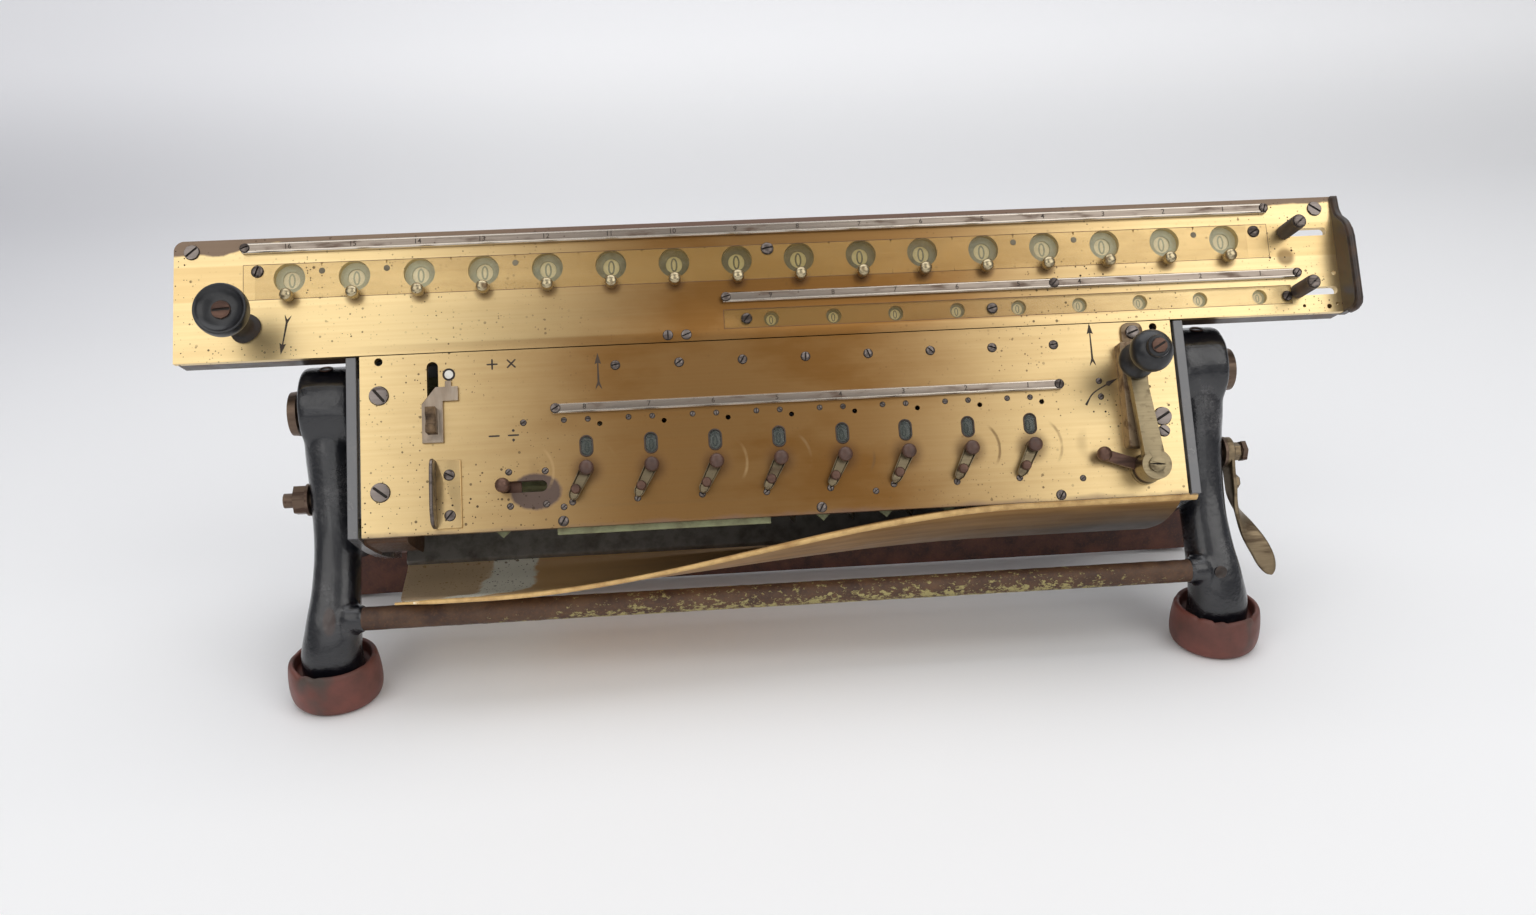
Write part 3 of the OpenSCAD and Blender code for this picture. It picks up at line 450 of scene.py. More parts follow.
# %% Tarnish and arcs
def tarnished(f, face, u, v, grain):
    """Two masks: all the tarnish, and the oval patch alone, whose border wanders with fine noise."""
    edge = f.plus(v, f.times(f.minus(grain, 0.5), 0.005))
    corner = f.remap(u, -0.216, -0.205, 0.0035, 0)
    top = f.remap(f.plus(edge, corner), 0.0138, 0.0146, 0, 0.85)
    ragged = f.times(f.minus(f.noise(face, 300, 4.0), 0.5), 0.0022)
    squeezed = f.mapped(scale=(0.72, 1, 1), vector=face)
    oval_patch = f.spot(squeezed, (-0.0965 * 0.72, -0.0905, 0), 0.0, 0.0136)
    patch = f.remap(f.plus(oval_patch, f.times(ragged, 60)), 0.40, 0.52)
    above = f.most(top, f.times(patch, 0.95))
    return f.most(above, f.remap(edge, -0.1035, -0.1058, 0, 0.6)), patch


def scratched(f, face, u, v, away, in_row, grain):
    """Mask of the arcs: near 12.2 mm from a stud, right of it, at mid height, in some columns."""
    ring = f.remap(f.off(away, 0.0122), 0.00025, 0.0008, 1, 0)
    side = f.calc("WRAP", f.minus(u, (drum_u(0) - PITCH / 2) * MM), 0.0, PITCH * MM)
    right = f.remap(side, 0.0200, 0.0226, 0, 1)
    level = f.remap(f.off(v, -0.0805), 0.006, 0.0095, 1, 0)
    which = f.remap(f.noise(f.mapped(scale=(1, 0.15, 1), vector=face), 31, 1.0), 0.44, 0.56)
    arc = f.times(f.times(ring, right), f.times(level, which))
    return f.times(arc, f.times(in_row, f.remap(grain, 0.38, 0.55)))


print("one column is", PITCH * MM, "m wide")

# %% [markdown]
# ## Pits and the whole finish
# Pits are scattered dots of two sizes. They crowd where the noise is high, at the left end of the
# carriage, in a band across the face and at its lower edge, and are few in the middle. The finish
# then lays one mark over another: brushing, painted shade and dirt round the bases, tarnish, arcs
# and pits.


# %% Brass of the face and the carriage
def pitted(f, face, u, v, cloud):
    """Mask of the pits: dots, times how crowded they are here, times more towards both ends."""
    dots = f.most(f.specks(face, 420, 0.0006, 0.45), f.specks(face, 900, 0.00036, 0.35, 3.1))
    crowd = f.remap(f.noise(face, 26, 3.0), 0.46, 0.60, 0.1, 1)
    crowd = f.most(crowd, f.remap(u, -0.2295, -0.2275, 1, 0))
    band = f.remap(f.off(v, -0.0290), 0.0012, 0.0042, 0.8, 0)
    crowd = f.most(crowd, f.times(band, f.remap(cloud, 0.42, 0.56)))
    crowd = f.most(crowd, f.remap(v, -0.1005, -0.1035, 0, 0.9))
    ends = f.remap(f.calc("ABSOLUTE", u), 0.05, 0.13, 0.15, 1)
    return f.times(f.times(dots, crowd), ends)


BRASS_BRIGHT, BRASS_DEEP, BRASS_BROWN_AND_SHADE = srgb(236, 211, 158), srgb(205, 168, 102), srgb(134, 96, 52)
BASE_SHADE_BROWN, UNDER_STRIP, PIT = srgb(92, 62, 34), srgb(190, 150, 84), srgb(58, 42, 28)
TARNISH, SLOT_TARNISH = srgb(112, 92, 86), srgb(92, 76, 70)
ARC_PALE, ARC_DARK = srgb(196, 164, 118), srgb(84, 58, 38)


def brushed_brass(name):
    """Brass with brushing along u, a middle browned by lacquer and painted shade, painted shade and dirt
    round the studs and knobs, pits, tarnished edges and scratched arcs.
    """
    f = Finish(name)
    face = f.face()
    u, v = f.axis(face, "X"), f.axis(face, "Y")
    streak = f.noise(f.mapped(scale=(6, 700, 700), vector=face), 1.0, 3.0, 0.6)
    fine = f.noise(f.mapped(scale=(30, 2600, 2600), vector=face), 1.0, 2.0)
    cloud = f.noise(f.mapped(scale=(9, 22, 1), vector=face), 1.0, 5.0, 0.6)
    grain = f.noise(face, 60, 4.0)
    away = from_stud(f, u, v, drum_u(0), -0.0827)
    in_row = f.remap(f.off(u, 0.0127), 0.106, 0.112, 1, 0)
    # Painted shade and dirt round the bases of the studs and the knobs.
    base_shade_and_dirt = fingered(f, away, in_row, from_stud(f, u, v, dial_u(0), -0.0085))
    tarnish, patch = tarnished(f, face, u, v, grain)
    arc = scratched(f, face, u, v, away, in_row, grain)
    pits = pitted(f, face, u, v, cloud)
    strip = f.remap(f.off(v, -0.0012), 0.0070, 0.0074, 0.25, 0)
    # The brown middle is partly lacquer gone brown and partly painted shade.
    colour = f.mix(browned_middle(f, u, v, cloud), BRASS_BRIGHT, BRASS_BROWN_AND_SHADE)
    colour = f.mix(f.remap(streak, 0.3, 0.7, 0, 0.14), colour, BRASS_DEEP, "MULTIPLY")
    colour = f.mix(base_shade_and_dirt, colour, BASE_SHADE_BROWN)
    colour = f.mix(strip, colour, UNDER_STRIP)
    colour = f.mix(tarnish, colour, f.mix(patch, TARNISH, SLOT_TARNISH))
    colour = f.mix(f.times(arc, 0.6), colour, f.mix(f.remap(u, -0.02, 0.05), ARC_PALE, ARC_DARK))
    colour = f.mix(pits, colour, PIT)
    dull = f.most(tarnish, f.most(base_shade_and_dirt, pits))
    rough = f.plus(f.remap(streak, 0.25, 0.75, 0.33, 0.40), f.times(dull, 0.22))
    relief = f.plus(f.times(streak, 0.5), f.times(fine, 0.5))
    relief = f.minus(relief, f.plus(pits, f.times(arc, 0.5)))
    return f.set(Base_Color=colour, Roughness=rough, Metallic=f.remap(dull, 0, 1, 1, 0.55),
                 Normal=f.bump(relief, 0.00002, 0.7))


face_brass = brushed_brass("brass of the plates")
print("the brass has", len(face_brass.node_tree.nodes), "nodes")

# %% [markdown]
# ## Enamel and rust
# The stand is glossy black enamel over rough casting, chipped to rust. It is grey in speckles, partly
# worn and partly painted sheen. The rods have gone to rust themselves, and flecks of pale green paint
# are left on the front one, most of all in its middle and low down.


# %% Enamel and rust
RUST_CHIP, CHIP_STRETCH = (-181.4, -50, 37), (1, 0.25, 0.5)


def enamel(name, base, dusty, crinkle, share):
    """Black enamel over casting skin: grey in a share of speckles, partly wear and partly painted sheen, with
    chips gone to rust.
    """
    f = Finish(name, Specular_IOR_Level=0.6, Coat_Weight=0.35, Coat_Roughness=0.08)
    dust = f.remap(f.noise(f.here, 48, 5.0, 0.6), 0.60 - share * 0.2, 0.76 - share * 0.1)
    skin = f.noise(f.here, 620, 5.0, 0.65)
    wave = f.noise(f.here, 110, 4.0, 0.6)
    speck = f.remap(skin, 0.42, 0.66, 0.25, 1)
    # Grey speckles: partly wear and partly painted sheen.
    worn_grey_and_sheen = f.times(f.times(dust, speck), share)
    colour = f.mix(worn_grey_and_sheen, base, dusty)
    chips = f.times(f.specks(f.here, 110, 0.0011, 0.12), f.remap(wave, 0.5, 0.6))
    chip_at = tuple(on_floor([RUST_CHIP])[0] * CHIP_STRETCH)
    rust = f.spot(f.mapped(scale=CHIP_STRETCH), chip_at, 0.0021, 0.0008)
    colour = f.mix(f.most(chips, rust), colour, srgb(50, 33, 27))
    rough = f.plus(f.remap(worn_grey_and_sheen, 0, 1, 0.15, 0.42), f.remap(wave, 0.35, 0.7, 0, 0.12))
    relief = f.plus(f.times(skin, 0.4), wave)
    return f.set(Base_Color=colour, Roughness=rough, Normal=f.bump(relief, crinkle, 0.9))


def rusty(name, base, dark, flake=None):
    """Rusted steel, brown with darker blotches; flake is a colour of old paint left in small flecks."""
    f = Finish(name, Metallic=0.2)
    blotch = f.noise(f.here, 90, 6.0, 0.65)
    grit = f.noise(f.here, 900, 3.0)
    colour = f.mix(f.remap(blotch, 0.35, 0.65), base, dark)
    colour = f.mix(f.remap(grit, 0.5, 0.75, 0, 0.4), colour, srgb(128, 92, 66))
    rough = f.remap(grit, 0.3, 0.7, 0.42, 0.72)
    relief = f.plus(f.times(grit, 0.4), blotch)
    if flake:
        x, z = f.axis(f.here, "X"), f.axis(f.here, "Z")
        where = f.remap(f.off(x, 0.02), 0.09, 0.17, 0.085, -0.08)
        where = f.plus(where, f.remap(z, 0.031, 0.039, 0.05, -0.07))
        flecks = f.noise(f.mapped(scale=(0.6, 1, 1)), 520, 7.0, 0.75)
        left = f.remap(f.plus(flecks, where), 0.585, 0.615)
        colour = f.mix(left, colour, flake)
        relief = f.plus(relief, left)
    return f.set(Base_Color=colour, Roughness=rough, Normal=f.bump(relief, 0.00012, 0.7))


cast_enamel = enamel("black enamel on the castings", srgb(15, 16, 22), srgb(112, 110, 110), 0.00062, 0.5)
plate_enamel = enamel("black enamel on the plates", srgb(96, 96, 98), srgb(130, 126, 122), 0.00005, 0.4)
rod_rust = rusty("rusted front rod", srgb(96, 70, 50), srgb(66, 46, 36), srgb(164, 152, 100))
bar_rust = rusty("oxide red rear bar", srgb(98, 60, 48), srgb(62, 40, 36))
print("enamels and rusts:", [m.name for m in (cast_enamel, plate_enamel, rod_rust, bar_rust)])

# %% [markdown]
# ## Steel, nickel and paint
# Levers, shafts and bars are bare steel or nickel plate. Both stain in long soft marks and take
# fine scratches. Frames, discs and figures are painted, and the paint is worn in patches.


# %% Steel and paint
def steel(name, base, tarnish, share, rough=0.32, metallic=1.0, stretch=0.15):
    """Plated or bare steel: long soft stains over a share of it, fine scratches, a few brown specks."""
    f = Finish(name)
    stain = f.noise(f.mapped(scale=(stretch, 1, 1)), 260, 5.0, 0.55)
    stain = f.remap(stain, 0.66 - share * 0.3, 0.84 - share * 0.24, 0, 1, smooth=True)
    scratch = f.noise(f.mapped(scale=(40, 1500, 1500)), 1.0, 2.0)
    spots = f.specks(f.here, 700, 0.00035, 0.2 * share)
    colour = f.mix(stain, base, tarnish)
    colour = f.mix(f.remap(scratch, 0.35, 0.65, 0, 0.16), colour, tarnish)
    colour = f.mix(f.times(spots, 0.7), colour, srgb(74, 50, 38))
    wear = f.remap(scratch, 0.3, 0.7, -0.04, 0.05)
    roughness = f.plus(f.remap(stain, 0, 1, rough, rough + 0.16), wear)
    shine = f.remap(stain, 0, 1, metallic, metallic * 0.75)
    return f.set(Base_Color=colour, Roughness=roughness, Metallic=shine, Normal=f.bump(scratch, 0.00001, 0.6))


def painted(name, base, worn, rough=0.5):
    """Old flat paint with worn, dirty patches."""
    f = Finish(name, Roughness=rough)
    patch = f.noise(f.here, 130, 6.0, 0.65)
    colour = f.mix(f.remap(patch, 0.42, 0.7), base, worn)
    return f.set(Base_Color=colour, Roughness=f.remap(patch, 0.3, 0.7, rough - 0.1, rough + 0.15),
                 Normal=f.bump(patch, 0.00006, 0.6))


dull_steel = steel("dull browned steel", srgb(112, 94, 80), srgb(70, 50, 40), 0.6, 0.42, 0.8)
nickel = steel("worn nickel", srgb(142, 129, 102), srgb(98, 84, 62), 0.5, 0.34, stretch=0.6)
arm_nickel = steel("nickel of the setting arms", srgb(136, 123, 98), srgb(90, 74, 56), 0.6, 0.34)
inside_grey = painted("dusty grey inside", srgb(124, 120, 114), srgb(84, 78, 70), 0.6)
bare_hem = painted("bare folded edge", srgb(222, 184, 120), srgb(176, 134, 80), 0.42)
bar_nickel = steel("nickel of the scale bars", srgb(150, 139, 128), srgb(98, 80, 68), 0.55, 0.3, stretch=0.25)
bright_steel = steel("machined steel", srgb(190, 184, 174), srgb(128, 116, 100), 0.3, 0.3)
browned = steel("browned steel", srgb(104, 78, 66), srgb(66, 46, 38), 0.6, 0.42, 0.7)
green_paint = painted("pale green paint", srgb(134, 138, 102), srgb(96, 90, 62))
dark_bronze = painted("dark bronze paint", srgb(48, 38, 32), srgb(84, 62, 46), 0.38)
dial_grey = painted("grey green dial paint", srgb(92, 100, 78), srgb(70, 76, 56), 0.5)
print("finishes so far:", len(bpy.data.materials))

# %% [markdown]
# ## Rubber
# The feet were moulded from red rubber, and the large knobs turned from hard black rubber. The
# soft one has gone brown and scuffed. The hard one keeps its polish, greyed in patches, with a faint
# fine relief.


# %% Soft and hard rubber
def old_rubber(name):
    """Red rubber gone brown in mottles, with dark scuffs."""
    f = Finish(name, Specular_IOR_Level=0.45)
    mottled = f.noise(f.here, 60, 6.0, 0.6)
    scuff = f.remap(f.noise(f.mapped(shift=(2.3, 0, 0)), 38, 3.0), 0.56, 0.66)
    colour = f.mix(f.remap(mottled, 0.35, 0.68), srgb(118, 66, 56), srgb(86, 54, 46))
    colour = f.mix(f.times(scuff, 0.8), colour, srgb(66, 62, 56))
    return f.set(Base_Color=colour, Roughness=f.remap(mottled, 0.3, 0.7, 0.36, 0.6),
                 Normal=f.bump(f.noise(f.here, 700, 3.0), 0.00005, 0.5))


def ebonite(name):
    """Turned hard rubber: near black and polished, greyed in patches, with a faint fine relief."""
    f = Finish(name, Specular_IOR_Level=0.55)
    grey = f.noise(f.here, 200, 5.0, 0.6)
    colour = f.mix(f.remap(grey, 0.5, 0.8, 0, 0.6), srgb(20, 21, 24), srgb(52, 52, 54))
    return f.set(Base_Color=colour, Roughness=f.remap(grey, 0.3, 0.8, 0.26, 0.42),
                 Normal=f.bump(f.noise(f.here, 1500, 2.0), 0.00001, 0.5))


foot_rubber = old_rubber("old red rubber")
hard_rubber = ebonite("hard black rubber")
print("rubbers:", foot_rubber.name, "and", hard_rubber.name)

# %% [markdown]
# ## Celluloid and dial paint
# Clear strips cover the windows, and have gone yellow in clouds. The green dials and their cream
# figures are painted paler towards both ends of the row: painted light, where the lamps are mirrored.


# %% Celluloid and dial paint with painted light at the ends
def celluloid(name, clear, stained, thin, thick):
    """Clear strip gone yellow: see-through, its cloudy stains from thin to thick."""
    f = Finish(name, Specular_IOR_Level=0.5)
    stain = f.noise(f.mapped(scale=(0.4, 1, 1)), 110, 5.0, 0.6)
    colour = f.mix(f.remap(stain, 0.3, 0.75), clear, stained)
    return f.set(Base_Color=colour, Alpha=f.remap(stain, 0.25, 0.75, thin, thick),
                 Roughness=f.remap(stain, 0.2, 0.8, 0.10, 0.26))


def faded(name, dark, pale, rough=0.5):
    """Dial paint: dark at the middle columns and painted paler towards both ends of the row, as painted
    light.
    """
    f = Finish(name)
    u = f.axis(f.face(), "X")
    # Painted light: paler towards both ends of the row.
    end = f.remap(f.off(u, 0.004), 0.02, 0.17, smooth=True)
    tone = f.noise(f.here, 300, 4.0)
    colour = f.mix(f.plus(end, f.remap(tone, 0.3, 0.7, -0.12, 0.12), clamp=True), dark, pale)
    return f.set(Base_Color=colour, Roughness=f.remap(tone, 0.3, 0.7, rough - 0.12, rough + 0.08),
                 Normal=f.bump(tone, 0.00003, 0.4))


clear_strip = celluloid("yellowed celluloid", srgb(224, 194, 126), srgb(192, 156, 88), 0.03, 0.14)
window_glass = celluloid("dark window glass", srgb(96, 102, 98), srgb(70, 76, 70), 0.3, 0.5)
window_green = faded("dial green", srgb(40, 50, 36), srgb(176, 182, 158), 0.4)
figure_cream = faded("cream figures", srgb(176, 164, 108), srgb(244, 234, 196), 0.5)
print("strips and dials:", [m.name for m in (clear_strip, window_glass, window_green, figure_cream)])

# %% [markdown]
# ## Brass of the sheet
# The sheet under the case is thin rolled brass, brown and streaked, and painted darkest low at the
# right, as painted shade. At the left its inside shows: pale with dust, with a slanting pale band and
# a part in painted shade, and its brass is painted lighter there, as painted light.


# %% Sheet brass
def sheet_brass(name):
    """Thin streaked brass with painted shade low at the right and painted light at the left; slant = x + 1.05
    z in metres tells where the pale band crosses the sheet.
    """
    f = Finish(name)
    streak = f.noise(f.mapped(scale=(14, 260, 260)), 1.0, 4.0)
    cloud = f.noise(f.here, 40, 6.0, 0.6)
    x, z = f.axis(f.here, "X"), f.axis(f.here, "Z")
    colour = f.mix(f.remap(streak, 0.3, 0.7), srgb(190, 150, 96), srgb(150, 112, 68))
    # Painted shade: darkest low at the right.
    low_right_shade = f.times(f.remap(z, 0.070, 0.050), f.remap(x, 0.02, 0.13))
    colour = f.mix(f.times(low_right_shade, 0.95), colour, srgb(52, 36, 20))
    ragged = f.times(f.minus(cloud, 0.5), 0.02)
    even_slant = f.plus(x, f.times(z, 1.05))
    slant = f.plus(even_slant, ragged)
    band = f.remap(f.off(slant, -0.0876), 0.0085, 0.0105, 1, 0)
    shade = f.remap(slant, -0.0975, -0.0955, 1, 0)
    front = f.remap(f.plus(z, f.times(ragged, 0.3)), 0.0430, 0.0455)
    front = f.times(front, f.remap(x, -0.085, -0.05, 1, 0, smooth=True))
    dust = f.most(f.most(band, front), shade)
    dust = f.times(dust, f.remap(x, -0.075, -0.045, 1, 0, smooth=True))
    # Painted light: lighter brass towards the open left end.
    colour = f.mix(f.remap(even_slant, -0.08, 0.05), srgb(226, 180, 122), colour)
    dark = f.most(f.specks(f.here, 420, 0.0008, 0.5), f.specks(f.here, 900, 0.0004, 0.5, 2.3))
    pale = f.mix(f.times(dark, 0.8), srgb(255, 250, 232), srgb(120, 96, 66))
    pale = f.mix(f.times(shade, f.remap(front, 0, 1, 0.75, 0.1)), pale, srgb(206, 164, 108))
    colour = f.mix(dust, colour, pale)
    rough = f.remap(f.plus(cloud, dust), 0.3, 1.5, 0.34, 0.85)
    shine = f.times(f.remap(dust, 0, 1, 0.7, 0.0), f.remap(x, -0.09, 0.05, 0.1, 1))
    return f.set(Base_Color=colour, Roughness=rough, Metallic=shine,
                 Normal=f.bump(f.plus(cloud, f.times(dark, dust)), 0.00015, 0.5))


belly_brass = sheet_brass("thin sheet brass")
print("the sheet's brass has", len(belly_brass.node_tree.nodes), "nodes")

# %% [markdown]
# ## Shapes from numbers
# Most small parts here are turned, cut from plate or drawn along a path. A shape is a pair: rows
# of points in mm, and groups of faces. Nearly all of them come from a loft, which skins rings of
# points, and a turned form is a loft of circles whose radii and heights follow a profile.


# %% Loft and turning
def loft(rings):
    """Closed rings of points (rows, around, 3) skinned one after another, with both ends filled."""
    rings = np.asarray(rings, float)
    rows, around = rings.shape[:2]
    end = np.arange(around)[None]
    skin = grid_faces(rows, around, close_columns=True)
    return rings.reshape(-1, 3), [skin, end[:, ::-1], end + (rows - 1) * around]


def turned(profile, centre=(0, 0, 0), axis=(0, 0, 1), segments=40):
    """Rows (radius r, height h) carried round an axis: centre + r cos a side + r sin a other + h axis."""
    axis = np.asarray(axis, float)
    side = np.cross(axis, (0, 0, 1) if abs(axis[2]) < 0.9 else (1, 0, 0))
    side /= np.linalg.norm(side)
    a = np.linspace(0, 2 * np.pi, segments, endpoint=False)[:, None]
    r, h = np.asarray(profile, float).T[:, :, None, None]
    return loft(np.asarray(centre) + r * (np.cos(a) * side + np.sin(a) * np.cross(axis, side)) + h * axis)


print("a turned pin has", len(turned([(0, 0), (1, 0), (1, 2), (0, 2)])[0]), "points")

# %% [markdown]
# ## Outlines
# A plate starts as an outline in two directions. Its corners are rounded by a short curve, since
# no filed corner is sharp. An oval serves for bosses, feet and discs, and an outline moved
# inwards by a little gives the ring for a rounded edge.


# %% Outlines
def rounded(corners, radius, steps=5):
    """Outline with each corner P replaced by the curve (1-t)^2 A + 2t(1-t) P + t^2 B, A and B near P."""
    p = np.asarray(corners, float)
    back, ahead = np.roll(p, 1, 0) - p, np.roll(p, -1, 0) - p
    back_len, ahead_len = (np.linalg.norm(e, axis=1, keepdims=True) for e in (back, ahead))
    r = np.minimum(radius, 0.45 * np.minimum(back_len, ahead_len))
    a, b = p + back / back_len * r, p + ahead / ahead_len * r
    t = np.linspace(0, 1, steps)[None, :, None]
    return ((1 - t) ** 2 * a[:, None] + 2 * t * (1 - t) * p[:, None] + t ** 2 * b[:, None]).reshape(-1, 2)


def oval(a, b, count=32, power=2.0):
    """Superellipse outline: x = a |cos|^(2/n), y = b |sin|^(2/n), signs kept; n = 2 is an ellipse."""
    t = np.linspace(0, 2 * np.pi, count, endpoint=False)
    c, s = np.cos(t), np.sin(t)
    bend = 2 / power
    return np.stack([a * np.sign(c) * np.abs(c) ** bend, b * np.sign(s) * np.abs(s) ** bend], 1)


def inset(outline, depth):
    """Outline moved inwards by depth, along the mean of the normals of its two edges."""
    edge = np.roll(outline, -1, 0) - outline
    normal = np.stack([-edge[:, 1], edge[:, 0]], 1) / (np.linalg.norm(edge, axis=1, keepdims=True) + 1e-9)
    mean = normal + np.roll(normal, 1, 0)
    return outline + depth * mean / (np.linalg.norm(mean, axis=1, keepdims=True) + 1e-9)


print("an oval's first points:", oval(2, 1)[:2].round(3).tolist())

# %% [markdown]
# ## Slabs, bars and pieces
# A slab raises an outline, and a bar carries a profile along the face. Both draw their last edge
# in by a little. Shapes can be put together, turned and moved. A piece is the object made of one:
# it gets its finish, rides on its body and stands for the packed part that it replaces.


# %% Slab, bar and piece
def slab(outline, low, high, edge=0.25):
    """Flat piece from low to high over an outline drawn anticlockwise, its upper edge rounded."""
    steps = [(0.0, low), (0.0, high - edge), (0.3 * edge, high - 0.3 * edge), (edge, high)]
    rings = [np.column_stack([inset(outline, d), np.full(len(outline), z)]) for d, z in steps]
    return loft(rings)


def along(profile, start, end, edge=0.2):
    """Bar along u: a profile of (v, w) rows from start to end, its two ends slightly drawn in."""
    steps = [(edge, start), (0.0, start + edge), (0.0, end - edge), (edge, end)]
    return loft([np.column_stack([np.full(len(profile), u), inset(profile, d)]) for d, u in steps])


def together(*shapes):
    """Several (points, face groups) shapes as one shape."""
    starts = np.cumsum([0] + [len(points) for points, groups in shapes[:-1]])
    groups = [group + start for (points, own), start in zip(shapes, starts) for group in own]
    return np.concatenate([points for points, own in shapes]), groups


def put(shape, place=(0, 0, 0), turn=0.0):
    """A shape turned about w by degrees, anticlockwise from above, then moved to place."""
    c, s = math.cos(math.radians(turn)), math.sin(math.radians(turn))
    return shape[0] @ np.array([[c, s, 0], [-s, c, 0], [0, 0, 1]]) + np.asarray(place, float), shape[1]


def piece(name, shape, material, body, slot, *nodes, world=on_face, smooth=35):
    """A new piece from a shape in mm; it rides on a body and stands for the packed nodes named."""
    made = make_mesh(name, world(shape[0]), [face for group in shape[1] for face in group.tolist()], smooth)
    made.data.materials.append(material)
    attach(made, body)
    if nodes:
        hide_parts(*nodes)
    return made


print("a slab of an oval has", len(slab(oval(2, 1), 0, 1)[0]), "points")

# %% [markdown]
# ## Rings and slotted heads
# The machine is held by slotted screws. A head is a grid of points over a circle: the rows of the
# slot lie lower than the crown. The floor of each slot is dark with painted shade and old oil, the
# seam round each head is dark with dirt, and that dark is a piece of its own.


# %% Ring and slotted heads
def hoop(outer, inner, low, high, count=36):
    """Flat ring between two ovals given by their half width and half height."""
    o, i = oval(*outer, count), oval(*inner, count)
    column = np.full((count, 1), 1.0)
    ring = [np.hstack([o, column * low]), np.hstack([o, column * high]),
            np.hstack([i, column * high]), np.hstack([i, column * low])]
    points = np.stack(ring, 1)
    return points.reshape(-1, 3), [grid_faces(count, 4, True, True)]


def screw(radius, height, dome=0.25, slot=0.3, rows=4, columns=9):
    """Slotted head: row y is 2 sqrt(R^2 - y^2) wide, the crown falls by dome r^2, slot rows lie lower."""
    half = slot * radius / 2
    y = half + (radius - half) * np.linspace(0, 1, rows) ** 0.8
    y = np.concatenate([-y[::-1], [-half, half], y])
    x = np.linspace(-1, 1, columns) * np.sqrt(np.maximum(radius ** 2 - y ** 2, 0))[:, None]
    z = height * (1 - dome * ((x ** 2 + y[:, None] ** 2) / radius ** 2) ** 1.5)
    z[rows:rows + 2] = height * (1 - dome) * 0.4
    x = np.concatenate([x[:, :1], x, x[:, -1:]], 1)
    z = np.concatenate([0 * z[:, :1], z, 0 * z[:, -1:]], 1)
    points = np.stack([x, np.repeat(y[:, None], x.shape[1], 1), z], -1)
    return points.reshape(-1, 3), [grid_faces(*x.shape, close_columns=True)]


def screws(rows):
    """Many heads as one shape; each row is u, v, w of the seat, radius, height, dome and slot angle."""
    return together(*(put(screw(r, h, dome), (u, v, w), a) for u, v, w, r, h, dome, a in rows))


def fasten(name, rows, material, body):
    """Screws in their finish, and a piece for the dark: painted shade and oil on the floor of each slot, and
    dirt in a ring round it.
    """
    dark = []
    for u, v, w, r, h, dome, a in rows:
        floor_w = h * (1 - dome) * 0.45
        # Dark floor of each slot: painted shade and oil.
        dark.append(put(slab(oval(r * 0.93, 0.15 * r, 20, 6), floor_w, floor_w + 0.03, 0.01), (u, v, w), a))
        dark.append(put(hoop((r + 0.22, r + 0.22), (r - 0.1, r - 0.1), -0.02, 0.05, 28), (u, v, w)))
    piece(name, screws(rows), material, body, "dull_steel")
    piece(name + "_slot_shade_and_seam_dirt", together(*dark), dirt, body, "dull_steel")


# This dark also serves as painted shade in the screw slots.
dirt = painted("old oil and dirt", srgb(26, 20, 16), srgb(52, 38, 28), 0.6)
print("a slotted head has", len(screw(1, 1)[0]), "points")

# %% [markdown]
# ## The packed plates with worn edges
# The brass plates, the black end plates and the levers have the right shape already. But a real
# edge is never a perfect corner, and its thin bright line is what makes it look like metal. So a
# copy of the packed mesh is welded, its flat triangles are joined, and a Bevel goes on its edges.


# %% Softened copies
def softened(node, width, material, body, angle=40):
    """A packed part's own mesh, welded and with its sharp edges bevelled by width mm."""
    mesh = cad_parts[node].data.copy()
    bm = bmesh.new()
    bm.from_mesh(mesh)
    bmesh.ops.remove_doubles(bm, verts=bm.verts, dist=2e-6)
    bmesh.ops.dissolve_limit(bm, angle_limit=math.radians(0.6), verts=bm.verts, edges=bm.edges)
    bm.to_mesh(mesh)
    bm.free()
    mesh.materials.clear()
    mesh.materials.append(material)
    mesh.polygons.foreach_set("use_smooth", np.ones(len(mesh.polygons), bool))
    mesh.set_sharp_from_angle(angle=math.radians(angle))
    made = bpy.data.objects.new(node + "_worn", mesh)
    bpy.context.scene.collection.objects.link(made)
    bevel = made.modifiers.new("worn edge", "BEVEL")
    bevel.width, bevel.segments, bevel.limit_method = width * MM, 2, "ANGLE"
    bevel.angle_limit = math.radians(angle)
    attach(made, body)
    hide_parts(node)
    print(f"{made.name}: {len(mesh.vertices)} points before its bevel")


softened("face_plate", 0.25, face_brass, "case")
softened("carriage_plate", 0.25, face_brass, "carriage")
softened("end_plates", 0.35, plate_enamel, "case")

# %% [markdown]
# ## Levers with worn edges
# The levers, the crank and the fixings of the stand are softened in the same way. The grip of the
# reversing slider is worn brown, while its plate keeps its nickel.


# %% Levers with worn edges
def two_tone(name, base, grip):
    """Nickel plate whose raised grip, over 1.5 mm above the face, is worn brown."""
    f = Finish(name)
    raised = f.remap(f.axis(f.face(), "Z"), 0.0014, 0.0019)
    tone = f.noise(f.here, 260, 5.0)
    scratch = f.noise(f.mapped(scale=(400, 60, 60)), 1.0, 3.0)
    colour = f.mix(f.remap(scratch, 0.35, 0.65, 0, 0.5), base, srgb(128, 110, 92))
    colour = f.mix(raised, colour, f.mix(f.remap(tone, 0.35, 0.65), grip, srgb(56, 42, 30)))
    rough, shine = f.remap(tone, 0.3, 0.7, 0.3, 0.45), f.remap(raised, 0, 1, 1, 0.6)
    return f.set(Base_Color=colour, Roughness=rough, Metallic=shine, Normal=f.bump(scratch, 0.00001, 0.6))


